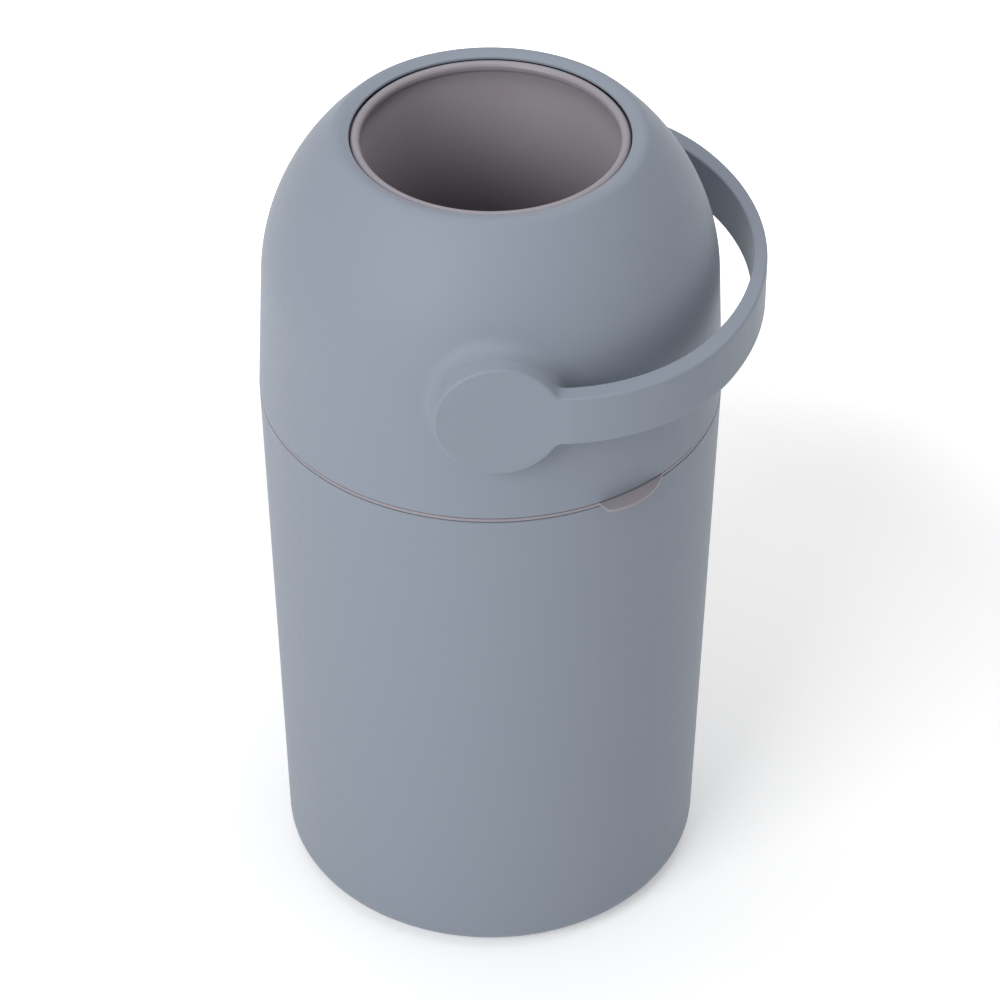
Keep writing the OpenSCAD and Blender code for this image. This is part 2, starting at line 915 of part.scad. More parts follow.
// Front half of the ball-shaped shell, with the axle's boss inside
module drum_half_shell() {
    mouth = rim_out_r + 0.3;
    difference() {
        union() {
            translate([0, 0, pivot_z])
                difference() {
                    sphere(r = ball_r);
                    sphere(r = ball_in_r);
                }
            intersection() {
                translate([0, 0, pivot_z])
                    sphere(r = ball_r);
                at_front(drum_boss_in)
                    cylinder(r = drum_boss_r, h = 20);
            }
        }
        translate([-seam_d, -fit_gap / 2, 0])
            cube([2 * seam_d, seam_d, 2 * pivot_z]);
        cylinder(r = mouth, h = 2 * pivot_z);
        at_front(0)
            cylinder(r = collar_r + fit_gap, h = seam_d);
        at_front(0)
            axle_screw_places()
                cylinder(r = small_screw[0] + fit_gap, h = drum_boss_in + 5);
        shell_screw_places() {
            translate([0, 0, drum_half])
                cylinder(r = shell_screw[0] + fit_gap, h = ball_r);
            translate([0, 0, shell_seat])
                cylinder(r = shell_screw[1] + fit_gap, h = 20);
        }
    }
}

module drum_shell_front() {
    color(mauve_color)
        drum_half_shell();
}

module drum_shell_rear() {
    color(mauve_color)
        mirror([0, 1, 0])
            drum_half_shell();
}

// Places something at each shell screw of both ends, with +Z outwards along the ball's radius
module shell_screw_places() {
    tilt = asin(shell_screw_r / ball_r);
    for (end = [0, 180])
        for (a = [45:90:315])
            translate([0, 0, pivot_z])
                rotate([end, 0, 0])
                    rotate([0, tilt, a])
                        children();
}

// The four screw places of an axle's flange
module axle_screw_places() {
    for (a = [45:90:315])
        rotate([0, 0, a])
            translate([axle_screw_r, 0, 0])
                children();
}

// Inner tube with a collar at each end under the ball's edge
module drum_tube() {
    collar_out = shell_screw_r + 5;
    collar_h = 5;
    color(mauve_color)
        difference() {
            union() {
                translate([0, 0, pivot_z - rim_shoulder + fit_gap])
                    cylinder(r = tube_out_r, h = 2 * (rim_shoulder - fit_gap));
                for (end = [0, 180])
                    translate([0, 0, pivot_z])
                        rotate([end, 0, 0])
                            tube_collar(collar_out, collar_h);
            }
            cylinder(r = tube_in_r, h = 2 * pivot_z);
            for (end = [0, 180])
                translate([0, 0, pivot_z])
                    rotate([end, 0, 0])
                        translate([0, 0, rim_shoulder - lap_h])
                            washer(lap_r, mouth_r, 2 * lap_h);
            shell_screw_places()
                translate([0, 0, shell_seat - shell_screw_len - fit_gap])
                    cylinder(r = shell_screw[0] + fit_gap, h = seam_d);
        }
}

// Collar that follows the inside of the ball
module tube_collar(out, height) {
    base = sqrt(ball_in_r * ball_in_r - out * out) - height;
    intersection() {
        sphere(r = ball_in_r - fit_gap);
        translate([0, 0, base])
            washer(tube_out_r - 0.5, out, 40);
    }
}

// Rounded rim with the sleeve that laps over the tube's end
module rim() {
    sleeve_out = rim_out_r - 0.5;
    translate([0, 0, pivot_z])
        rotate_extrude() {
            translate([rim_mid_r, drum_half - rim_bead])
                circle(r = rim_bead);
            translate([rim_in_r, rim_shoulder])
                square([rim_w, rim_h - rim_bead]);
            translate([lap_r + fit_gap, rim_shoulder - lap_h + fit_gap])
                square([sleeve_out - lap_r - fit_gap, lap_h]);
        }
}

module rim_upper() {
    color(mauve_color)
        rim();
}

module rim_lower() {
    color(mauve_color)
        translate([0, 0, 2 * pivot_z])
            mirror([0, 0, 1])
                rim();
}

// Screws that hold the ball's halves on the tube's collars
module drum_screws() {
    color(steel_color)
        shell_screw_places()
            translate([0, 0, shell_seat + fit_gap])
                rotate([180, 0, 0])
                    screw(shell_screw, shell_screw_len);
}

// Axle with its flange inside the ball, stop lug, running part and square end
module axle() {
    flange_in = drum_boss_in - fit_gap - flange_t;
    lug_end = plate_in + plate_t - 0.2;
    difference() {
        union() {
            at_front(flange_in)
                cylinder(r = flange_r, h = flange_t);
            at_front(flange_in)
                cylinder(r = collar_r, h = collar_face - flange_in);
            at_front(flange_in)
                cylinder(r = axle_r, h = hub_back - flange_in);
            at_front(collar_face - 0.1)
                intersection() {
                    cylinder(r = lug_r, h = lug_end - collar_face + 0.1);
                    linear_extrude(20)
                        polygon([
                            [0, 0],
                            2 * lug_r * [cos(-90 - lug_angle / 2), sin(-90 - lug_angle / 2)],
                            2 * lug_r * [cos(-90 + lug_angle / 2), sin(-90 + lug_angle / 2)]
                        ]);
                }
            at_front(flange_in)
                translate([-drive_side / 2, -drive_side / 2, 0])
                    cube([drive_side, drive_side, drive_end - flange_in]);
        }
        at_front(flange_in - 1)
            cylinder(r = hub_screw[0] + fit_gap, h = 60);
        at_front(flange_in - 1)
            axle_screw_places()
                cylinder(r = small_screw[0] + fit_gap, h = 20);
    }
}

module axle_front() {
    color(pale_color)
        axle();
}

module axle_rear() {
    color(pale_color)
        mirror([0, 1, 0])
            axle();
}

// Screws that hold both axle flanges on the ball
module axle_screws() {
    color(steel_color)
        for (side = [0, 1])
            mirror([0, side, 0])
                at_front(drum_boss_in - 2 * fit_gap - flange_t)
                    axle_screw_places()
                        screw(small_screw, 7.4);
}

// Screws along both axles into the handle's hubs
module hub_screws() {
    start = drum_boss_in - 2 * fit_gap - flange_t;
    color(steel_color)
        for (side = [0, 1])
            mirror([0, side, 0])
                at_front(start)
                    screw(hub_screw, hub_face - 1.5 - start);
}

// Bail handle: a strap with a round hub at each end
module handle() {
    color(body_color)
        difference() {
            intersection() {
                translate([0, 0, pivot_z - 2 * hub_r])
                    linear_extrude(4 * hub_r)
                        handle_plan();
                translate([0, seam_d, pivot_z])
                    rotate([90, 0, 0])
                        handle_side(2 * seam_d);
            }
            for (side = [0, 1])
                mirror([0, side, 0]) {
                    at_front(hub_back - 1)
                        translate([-drive_side / 2 - fit_gap, -drive_side / 2 - fit_gap, 0])
                            cube([
                                drive_side + 2 * fit_gap,
                                drive_side + 2 * fit_gap,
                                1 + drive_len + fit_gap
                            ]);
                    at_front(hub_back)
                        cylinder(r = hub_screw[0] + fit_gap, h = hub_face - 1.4 - hub_back);
                }
        }
}

// The handle seen from above, at rest
module handle_plan() {
    half = concat(inner_path(), [[-2 * hub_r, -hub_back], [-2 * hub_r, -hub_face]], outer_path());
    polygon(concat(half, [for (i = [len(half) - 1:-1:0]) [half[i][0], -half[i][1]]]));
}

// Outer edge of the front half: hub face, step to the strap, corner curve and far curve
function outer_path() =
    let (
        r2 = strap_face - outer_c,
        r1 = r2 + outer_more,
        b = asin(outer_c / outer_more),
        c1 = [strap_far_out - r1, 0],
        c2 = c1 + outer_more * [cos(b), -sin(b)]
    )
    concat(
        [for (i = [0:6]) let (t = i / 6)
            [step_start + (step_end - step_start) * t,
             -hub_face - (strap_face - hub_face) * (1 - cos(180 * t)) / 2]],
        [for (p = arc(c2, r2, -90, -b, 10)) if (p[0] > step_end + 1) p],
        [for (p = arc(c1, r1, -b, 0, 7)) if (p[1] > c1[1] - r1 * sin(b) + 1) p]
    );

// Inner edge of the front half, from the far end to the hub
function inner_path() =
    let (
        r2 = hub_back - inner_c,
        r1 = r2 + inner_more,
        b = asin(inner_c / inner_more),
        c1 = [strap_far_in - r1, 0],
        c2 = c1 + inner_more * [cos(b), -sin(b)]
    )
    concat(arc(c1, r1, 0, -b, 7), [for (p = arc(c2, r2, -b, -90, 8)) if (p[0] < c2[0] + r2 * cos(b) - 1) p]);

// The handle seen from the front, as a bar: the hub's circle, the strap and the fillets between
module handle_side(length) {
    fz = strap_w / 2 + strap_fillet - fillet_bite;
    fx = sqrt(pow(hub_r + strap_fillet - fillet_bite, 2) - fz * fz);
    cylinder(r = hub_r, h = length);
    translate([0, -strap_w / 2, 0])
        cube([2 * seam_d, strap_w, length]);
    for (side = [0, 1])
        mirror([0, side, 0])
            difference() {
                linear_extrude(length)
                    polygon([[0, 0], [fx, fz], [fx, 0]]);
                translate([fx, fz, -1])
                    cylinder(r = strap_fillet, h = length + 2);
            }
}

// One shell of the piston, from its outer face up to the wiper
module piston_shell() {
    depth = (piston_h - wiper_t) / 2 - fit_gap;
    translate([0, 0, pivot_z])
        difference() {
            union() {
                translate([0, 0, piston_bottom])
                    washer(piston_out_r - piston_t, piston_out_r, depth);
                translate([0, 0, piston_bottom + dish_depth])
                    cylinder(r = piston_out_r - 1, h = piston_t);
                translate([0, 0, piston_bottom + dish_depth])
                    washer(28, 30, piston_mid - weight_t / 2 - fit_gap - piston_bottom - dish_depth);
                piston_screw_places()
                    translate([0, 0, piston_bottom + dish_depth])
                        cylinder(r = piston_boss_r, h = depth - dish_depth);
                translate([0, 0, piston_bottom + depth - 1.6])
                    washer(piston_out_r - 8, piston_out_r - 1, 1.6);
            }
            piston_screw_places()
                translate([0, 0, piston_bottom - 1])
                    cylinder(r = small_screw[0] + fit_gap, h = piston_h);
        }
}

// The three screw places of the piston
module piston_screw_places() {
    for (a = [30, 150, 270])
        rotate([0, 0, a])
            translate([piston_screw_r, 0, 0])
                children();
}

module piston_lower() {
    color(mauve_color)
        piston_shell();
}

module piston_upper() {
    color(mauve_color)
        translate([0, 0, 2 * (pivot_z + piston_mid)])
            mirror([0, 0, 1])
                piston_shell();
}

// Steel disc between the shells, which makes the piston push. It is cut away where a boss needs room
module piston_weight() {
    color(steel_color)
        translate([0, 0, pivot_z + piston_mid - weight_t / 2])
            difference() {
                cylinder(r = weight_r, h = weight_t);
                piston_screw_places()
                    translate([0, 0, -1])
                        cylinder(r = piston_boss_r + fit_gap, h = weight_t + 2);
            }
}

// Soft ring between the shells that wipes the tube
module piston_wiper() {
    lip = tube_in_r - wiper_gap;
    color(rubber_color)
        translate([0, 0, pivot_z + piston_mid - wiper_t / 2])
            difference() {
                union() {
                    washer(piston_out_r - 8, lip - 0.5, wiper_t);
                    translate([0, 0, wiper_t / 2 - 0.5])
                        washer(lip - 1, lip, 1);
                }
            }
}

// Screws through both shells, put in from above
module piston_screws() {
    top = piston_mid + piston_h / 2 - dish_depth;
    flat_screw = [small_screw[0], small_screw[1], 1.6];
    color(steel_color)
        translate([0, 0, pivot_z + top + fit_gap])
            piston_screw_places()
                rotate([180, 0, 0])
                    screw(flat_screw, piston_h - 2 * dish_depth - 1);
}

bucket();
foot_ring();
bag_ring();
hinge_bracket();
hinge_pin();
hinge_screws();
dome();
seam_ring();
chassis_screws();
mouth_gasket();
throat_gasket();
bush_front();
bush_rear();
stop_plate_front();
stop_plate_rear();
stop_plate_screws();
drum_shell_front();
drum_shell_rear();
drum_tube();
rim_upper();
rim_lower();
drum_screws();
axle_front();
axle_rear();
axle_screws();
hub_screws();
handle();
piston_lower();
piston_upper();
piston_weight();
piston_wiper();
piston_screws();
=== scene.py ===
"""Looks of a nappy bin: tapered bucket, domed head, turning drum with a rounded mouth, bail handle.

Every size in the classes below is in millimetres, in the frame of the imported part: +Z up, the
origin on the floor under the bin's middle, the front hub at -Y and the handle at rest along +X.
"""

import json
import logging
import math
from collections.abc import Callable
from dataclasses import dataclass, field
from enum import Enum
from functools import cache

import bmesh
import bpy
import numpy as np
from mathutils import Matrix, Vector


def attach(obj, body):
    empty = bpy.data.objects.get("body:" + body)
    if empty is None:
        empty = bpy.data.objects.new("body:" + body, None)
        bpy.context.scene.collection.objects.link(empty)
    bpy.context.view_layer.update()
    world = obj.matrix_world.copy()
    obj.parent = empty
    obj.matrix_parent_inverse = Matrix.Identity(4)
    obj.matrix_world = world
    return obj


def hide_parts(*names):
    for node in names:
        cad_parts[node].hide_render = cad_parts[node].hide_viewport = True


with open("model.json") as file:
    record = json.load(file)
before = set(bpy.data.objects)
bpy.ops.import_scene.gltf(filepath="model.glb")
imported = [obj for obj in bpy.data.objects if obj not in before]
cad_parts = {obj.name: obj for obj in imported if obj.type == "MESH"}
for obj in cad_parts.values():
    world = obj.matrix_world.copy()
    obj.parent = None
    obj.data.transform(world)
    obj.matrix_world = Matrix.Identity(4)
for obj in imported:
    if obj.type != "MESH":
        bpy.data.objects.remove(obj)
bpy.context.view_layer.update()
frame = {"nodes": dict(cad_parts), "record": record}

log = logging.getLogger("nappy_bin")
MM = 0.001
MERGE_M = 1e-7
SLIVER_M = 1e-8
SHARP_DEG = 35.0
SWEEP_STEPS = 256
NOISE_ROUGHNESS = 0.5
SHEEN_ROUGHNESS = 0.5
PATCH_GRAINS = 12.0
PATCH_LOW, PATCH_HIGH = 0.3, 0.7
BUMP_STRENGTH = 0.6

Point = tuple[float, float]
Points = list[Point]
Place = tuple[float, float, float]
Places = list[tuple[Place, Place]]


class Body(Enum):
    """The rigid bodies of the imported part."""

    BASE = "base"
    HEAD = "head"
    DRUM = "drum"
    PISTON = "piston"


class Slot(Enum):
    """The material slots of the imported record."""

    SHELL = "body_shell"
    MAUVE = "mauve_plastic"
    RUBBER = "dark_rubber"
    PALE = "pale_plastic"
    STEEL = "bare_steel"


# ---------------------------------------------------------------------------------------------
# Finishes
# ---------------------------------------------------------------------------------------------


@dataclass(frozen=True)
class Finish:
    """A moulded or machined surface, built as a node material on Object coordinates.

    The colour drifts slowly between two close tones, the roughness follows a medium noise, and a
    fine grain gives the bump. Everything that is the same all over is set on the shader's sockets.
    """

    name: str
    slot: Slot
    colour: tuple[float, float, float]
    drift: tuple[float, float, float]
    rough_low: float
    rough_high: float
    grain_mm: float
    bump_mm: float
    specular: float = 0.5
    sheen: float = 0.0
    metallic: float = 0.0
    drift_mm: float = 70.0
    stretch: tuple[float, float, float] = (1.0, 1.0, 1.0)
    coat: float = 0.0

    def material(self) -> bpy.types.Material:
        """Return this finish's material, building it at the first call.

        Returns:
            The node material, shared by every piece that has this finish.
        """
        found = bpy.data.materials.get(self.name)
        if found is not None:
            return found
        material = bpy.data.materials.new(self.name)
        material.use_nodes = True
        tree = material.node_tree
        shader = tree.nodes["Principled BSDF"]
        shader.inputs["Metallic"].default_value = self.metallic
        shader.inputs["Specular IOR Level"].default_value = self.specular
        shader.inputs["Sheen Weight"].default_value = self.sheen
        shader.inputs["Sheen Roughness"].default_value = SHEEN_ROUGHNESS
        shader.inputs["Coat Weight"].default_value = self.coat
        coords = tree.nodes.new("ShaderNodeTexCoord")
        mapping = tree.nodes.new("ShaderNodeMapping")
        mapping.inputs["Scale"].default_value = self.stretch
        tree.links.new(coords.outputs["Object"], mapping.inputs["Vector"])
        self._add_colour(tree, mapping, shader)
        self._add_roughness(tree, mapping, shader)
        self._add_grain(tree, mapping, shader)
        return material

    def _noise(
        self, tree: bpy.types.NodeTree, mapping: bpy.types.Node, size_mm: float, detail: float
    ) -> bpy.types.Node:
        """Add a noise whose features have a given size.

        Args:
            tree: The material's node tree.
            mapping: The node that gives the texture's coordinates.
            size_mm: Size of the noise's features.
            detail: How many finer layers are added.

        Returns:
            The noise node.
        """
        noise = tree.nodes.new("ShaderNodeTexNoise")
        noise.inputs["Scale"].default_value = 1.0 / (size_mm * MM)
        noise.inputs["Detail"].default_value = detail
        noise.inputs["Roughness"].default_value = NOISE_ROUGHNESS
        tree.links.new(mapping.outputs["Vector"], noise.inputs["Vector"])
        return noise

    def _add_colour(
        self, tree: bpy.types.NodeTree, mapping: bpy.types.Node, shader: bpy.types.Node
    ) -> None:
        """Let the base colour drift slowly between the finish's two tones.

        Args:
            tree: The material's node tree.
            mapping: The node that gives the textures' coordinates.
            shader: The node that gets the result.
        """
        noise = self._noise(tree, mapping, self.drift_mm, 2.0)
        mix = tree.nodes.new("ShaderNodeMix")
        mix.data_type = "RGBA"
        mix.inputs["A"].default_value = (*self.colour, 1.0)
        mix.inputs["B"].default_value = (*self.drift, 1.0)
        tree.links.new(noise.outputs["Fac"], mix.inputs["Factor"])
        tree.links.new(mix.outputs["Result"], shader.inputs["Base Color"])

    def _add_roughness(
        self, tree: bpy.types.NodeTree, mapping: bpy.types.Node, shader: bpy.types.Node
    ) -> None:
        """Vary the roughness over patches a few times the grain's size.

        Args:
            tree: The material's node tree.
            mapping: The node that gives the textures' coordinates.
            shader: The node that gets the result.
        """
        noise = self._noise(tree, mapping, self.grain_mm * PATCH_GRAINS, 3.0)
        spread = tree.nodes.new("ShaderNodeMapRange")
        spread.inputs["From Min"].default_value = PATCH_LOW
        spread.inputs["From Max"].default_value = PATCH_HIGH
        spread.inputs["To Min"].default_value = self.rough_low
        spread.inputs["To Max"].default_value = self.rough_high
        tree.links.new(noise.outputs["Fac"], spread.inputs["Value"])
        tree.links.new(spread.outputs["Result"], shader.inputs["Roughness"])

    def _add_grain(
        self, tree: bpy.types.NodeTree, mapping: bpy.types.Node, shader: bpy.types.Node
    ) -> None:
        """Add the fine grain as bump.

        Args:
            tree: The material's node tree.
            mapping: The node that gives the textures' coordinates.
            shader: The node that gets the result.
        """
        noise = self._noise(tree, mapping, self.grain_mm, 4.0)
        bump = tree.nodes.new("ShaderNodeBump")
        bump.inputs["Strength"].default_value = BUMP_STRENGTH
        bump.inputs["Distance"].default_value = self.bump_mm * MM
        tree.links.new(noise.outputs["Fac"], bump.inputs["Height"])
        tree.links.new(bump.outputs["Normal"], shader.inputs["Normal"])


SOFT_TOUCH = Finish(
    name="soft_touch_blue_grey",
    slot=Slot.SHELL,
    colour=(0.262, 0.298, 0.362),
    drift=(0.270, 0.304, 0.366),
    rough_low=0.52,
    rough_high=0.60,
    grain_mm=0.5,
    bump_mm=0.02,
    specular=0.35,
    sheen=0.08,
)
MAUVE = Finish(
    name="satin_mauve",
    slot=Slot.MAUVE,
    colour=(0.302, 0.280, 0.314),
    drift=(0.310, 0.286, 0.320),
    rough_low=0.34,
    rough_high=0.42,
    grain_mm=0.4,
    bump_mm=0.01,
    specular=0.5,
)
# Same mauve as the rim, with a coarser and rougher texture. Its colour is darkened to about 0.8 of the
# rim's: painted shade for the inside of the deep tube and for the piston down in it.
MAUVE_TEXTURED_PAINTED_SHADE = Finish(
    name="textured_mauve",
    slot=Slot.MAUVE,
    colour=(0.246, 0.224, 0.250),
    drift=(0.254, 0.230, 0.256),
    rough_low=0.56,
    rough_high=0.66,
    grain_mm=0.6,
    bump_mm=0.03,
    specular=0.3,
)
RUBBER = Finish(
    name="dark_soft_rubber",
    slot=Slot.RUBBER,
    colour=(0.040, 0.042, 0.050),
    drift=(0.052, 0.054, 0.062),
    rough_low=0.6,
    rough_high=0.75,
    grain_mm=0.6,
    bump_mm=0.03,
    specular=0.3,
    drift_mm=30.0,
)
BEARING = Finish(
    name="pale_bearing_plastic",
    slot=Slot.PALE,
    colour=(0.66, 0.66, 0.67),
    drift=(0.70, 0.70, 0.70),
    rough_low=0.35,
    rough_high=0.45,
    grain_mm=0.3,
    bump_mm=0.01,
    drift_mm=20.0,
)
STEEL = Finish(
    name="plated_steel",
    slot=Slot.STEEL,
    colour=(0.52, 0.53, 0.54),
    drift=(0.60, 0.60, 0.60),
    rough_low=0.26,
    rough_high=0.40,
    grain_mm=0.25,
    bump_mm=0.006,
    metallic=1.0,
    drift_mm=8.0,
    stretch=(1.0, 1.0, 6.0),
)
FINISHES = {finish.slot: finish for finish in (SOFT_TOUCH, MAUVE, RUBBER, BEARING, STEEL)}


# ---------------------------------------------------------------------------------------------
# Sections and meshes
# ---------------------------------------------------------------------------------------------


@dataclass(frozen=True)
class Bend:
    """A round stretch of a section: an arc from one angle to another, in degrees."""

    centre: Point
    radius: float
    start: float
    end: float
    steps: int = 6

    def points(self) -> Points:
        """Divide the arc evenly.

        Returns:
            The arc's points, both ends included.
        """
        angles = np.radians(np.linspace(self.start, self.end, self.steps + 1))
        return [
            (self.centre[0] + self.radius * math.cos(a), self.centre[1] + self.radius * math.sin(a))
            for a in angles
        ]


def trace(stretches: list["Bend | Point"], longest: float = 5.0, guard: float = 0.3) -> Points:
    """Join arcs and corners into one section.

    The straight runs between them get a point close to each end, which keeps flat faces flat in
    smooth shading, and further points so that none is longer than a limit.

    Args:
        stretches: Arcs and single corner points, in order.
        longest: Longest straight step.
        guard: Distance of the close points from the ends.

    Returns:
        The section's points.
    """
    out: Points = []
    for stretch in stretches:
        points = stretch.points() if isinstance(stretch, Bend) else [stretch]
        if out:
            out.extend(straight(out[-1], points[0], longest, guard))
        out.extend(points)
    return out


def straight(start: Point, end: Point, longest: float, guard: float) -> Points:
    """Divide a straight run.

    Args:
        start: One end.
        end: The other end.
        longest: Longest step.
        guard: Distance of the outermost points from the ends.

    Returns:
        The points between the ends, ends left out.
    """
    run = np.subtract(end, start)
    length = float(np.hypot(*run))
    if length < 4 * guard:
        return []
    inner = np.linspace(guard, length - guard, max(2, math.ceil((length - 2 * guard) / longest) + 1))
    return [tuple(np.add(start, run * (s / length))) for s in inner]


@dataclass
class Sheet:
    """Vertices in millimetres and faces of one or more closed skins."""

    vertices: list[tuple[float, float, float]] = field(default_factory=list)
    faces: list[tuple[int, ...]] = field(default_factory=list)

    def add_grid(self, rows: np.ndarray, closed_rows: bool, closed_columns: bool) -> None:
        """Add a grid of quads.

        Args:
            rows: Array of shape (rows, columns, 3).
            closed_rows: Whether the last row joins the first.
            closed_columns: Whether the last column joins the first.
        """
        base = len(self.vertices)
        count, width = rows.shape[:2]
        self.vertices.extend(map(tuple, rows.reshape(-1, 3)))
        for i in range(count if closed_rows else count - 1):
            for j in range(width if closed_columns else width - 1):
                a, b = i * width, ((i + 1) % count) * width
                k = (j + 1) % width
                self.faces.append((base + a + j, base + a + k, base + b + k, base + b + j))

    def solid(self, name: str) -> bpy.types.Object:
        """Turn the sheet into an object whose faces are closed, smooth and point outwards.

        Args:
            name: Name of the object.

        Returns:
            The new object, in the scene.
        """
        mesh = bpy.data.meshes.new(name)
        mesh.from_pydata([tuple(c * MM for c in v) for v in self.vertices], [], self.faces)
        work = bmesh.new()
        work.from_mesh(mesh)
        bmesh.ops.remove_doubles(work, verts=work.verts, dist=MERGE_M)
        bmesh.ops.dissolve_degenerate(work, edges=work.edges, dist=SLIVER_M)
        bmesh.ops.recalc_face_normals(work, faces=work.faces)
        for face in work.faces:
            face.smooth = True
        work.to_mesh(mesh)
        work.free()
        obj = bpy.data.objects.new(name, mesh)
        bpy.context.scene.collection.objects.link(obj)
        return obj

    def piece(
        self, name: str, finish: Finish, body: Body, replaces: tuple[str, ...] = ()
    ) -> bpy.types.Object:
        """Turn the sheet into a finished piece that rides on its body.

        Args:
            name: Name of the piece.
            finish: Its finish.
            body: The body it moves with.
            replaces: The CAD nodes that it stands for.

        Returns:
            The new object.
        """
        return settle(self.solid(name), finish, body, replaces)


def settle(
    obj: bpy.types.Object, finish: Finish, body: Body, replaces: tuple[str, ...] = ()
) -> bpy.types.Object:
    """Give a piece its finish, its body and the CAD nodes that it stands for.

    Args:
        obj: The piece, with its place in its mesh.
        finish: Its finish.
        body: The body it moves with.
        replaces: The CAD nodes that it stands for.

    Returns:
        The same object.
    """
    obj.data.materials.clear()
    obj.data.materials.append(finish.material())
    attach(obj, body.value)
    if replaces:
        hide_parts(*replaces)
    log.info("%s: %d faces on %s", obj.name, len(obj.data.polygons), body.value)
    return obj


def revolved(section: Points, columns: int, centre_z: float = 0.0) -> np.ndarray:
    """Turn a section about the Z axis.

    Args:
        section: Points of (radius, height).
        columns: How many times the section is repeated round the axis.
        centre_z: Height added to every point.

    Returns:
        Array of shape (columns, points, 3).
    """
    angles = np.arange(columns) * 2 * math.pi / columns
    radius, height = np.array(section).T
    rows = np.empty((columns, len(section), 3))
    rows[..., 0] = np.cos(angles)[:, None] * radius
    rows[..., 1] = np.sin(angles)[:, None] * radius
    rows[..., 2] = height + centre_z
    return rows


# ---------------------------------------------------------------------------------------------
# Geometry Nodes
# ---------------------------------------------------------------------------------------------


class Graph:
    """A Geometry Nodes tree under construction, with named inputs for its sizes."""

    def __init__(self, name: str, sizes: dict[str, str]) -> None:
        """Start a tree that takes a geometry, its sizes and a material.

        Args:
            name: Name of the tree.
            sizes: Kind of socket for each named input.
        """
        self.tree = bpy.data.node_groups.new(name, "GeometryNodeTree")
        sockets = self.tree.interface
        sockets.new_socket("Geometry", in_out="INPUT", socket_type="NodeSocketGeometry")
        for size, kind in {**sizes, "Material": "Material"}.items():
            sockets.new_socket(size, in_out="INPUT", socket_type=f"NodeSocket{kind}")
        sockets.new_socket("Geometry", in_out="OUTPUT", socket_type="NodeSocketGeometry")
        self.given = self.tree.nodes.new("NodeGroupInput").outputs

    def add(self, kind: str, inputs: dict[str, object], **choices: object) -> bpy.types.Node:
        """Add a node.

        Args:
            kind: The node's type.
            inputs: A value or a socket for each input that is set, by the input's name.
            choices: The node's own settings.

        Returns:
            The node.
        """
        node = self.tree.nodes.new(kind)
        for name, value in choices.items():
            setattr(node, name, value)
        for name, value in inputs.items():
            if isinstance(value, bpy.types.NodeSocket):
                self.tree.links.new(value, node.inputs[name])
            else:
                node.inputs[name].default_value = value
        return node

    def scaled(self, value: bpy.types.NodeSocket, factor: float) -> bpy.types.NodeSocket:
        """Multiply a size.

        Args:
            value: The size.
            factor: What it is multiplied by.

        Returns:
            The product.
        """
        node = self.add("ShaderNodeMath", {}, operation="MULTIPLY")
        self.tree.links.new(value, node.inputs[0])
        node.inputs[1].default_value = factor
        return node.outputs[0]

    def lifted(self, geometry: bpy.types.NodeSocket, height: bpy.types.NodeSocket) -> bpy.types.NodeSocket:
        """Move a geometry along Z.

        Args:
            geometry: The geometry.
            height: How far it moves.

        Returns:
            The moved geometry.
        """
        vector = self.add("ShaderNodeCombineXYZ", {"Z": height})
        move = {"Geometry": geometry, "Translation": vector.outputs[0]}
        return self.add("GeometryNodeTransform", move).outputs[0]

    def finish(self, geometry: bpy.types.NodeSocket) -> bpy.types.NodeTree:
        """End the tree in real geometry that has its material.

        Args:
            geometry: The geometry that the tree gives.

        Returns:
            The finished tree.
        """
        real = self.add("GeometryNodeRealizeInstances", {"Geometry": geometry})
        dress = {"Geometry": real.outputs[0], "Material": self.given["Material"]}
        dressed = self.add("GeometryNodeSetMaterial", dress)
        end = self.tree.nodes.new("NodeGroupOutput")
        self.tree.links.new(dressed.outputs[0], end.inputs[0])
        return self.tree


def instanced(
    graph: Graph, points: bpy.types.NodeSocket, shape: bpy.types.NodeSocket
) -> bpy.types.NodeSocket:
    """Put a shape on points, with its +Z along each point's own direction.

    Args:
        graph: The tree under construction.
        points: The points, which carry their direction as an attribute.
        shape: The shape.

    Returns:
        The instances.
    """
    way = graph.add("GeometryNodeInputNamedAttribute", {"Name": "way"}, data_type="FLOAT_VECTOR")
    turned = graph.add("FunctionNodeAlignRotationToVector", {"Vector": way.outputs[0]}, axis="Z")
    put = {"Points": points, "Instance": shape, "Rotation": turned.outputs[0]}
    return graph.add("GeometryNodeInstanceOnPoints", put).outputs[0]


@dataclass(frozen=True)
class ScrewShape:
    """Proportions of a socket-head screw, as parts of its head's height and radius."""

    head_sides: int = 32
    shank_sides: int = 24
    key_sides: int = 6
    chamfer: float = 0.3
    top: float = 0.84
    key: float = 0.5
    key_depth: float = 0.6


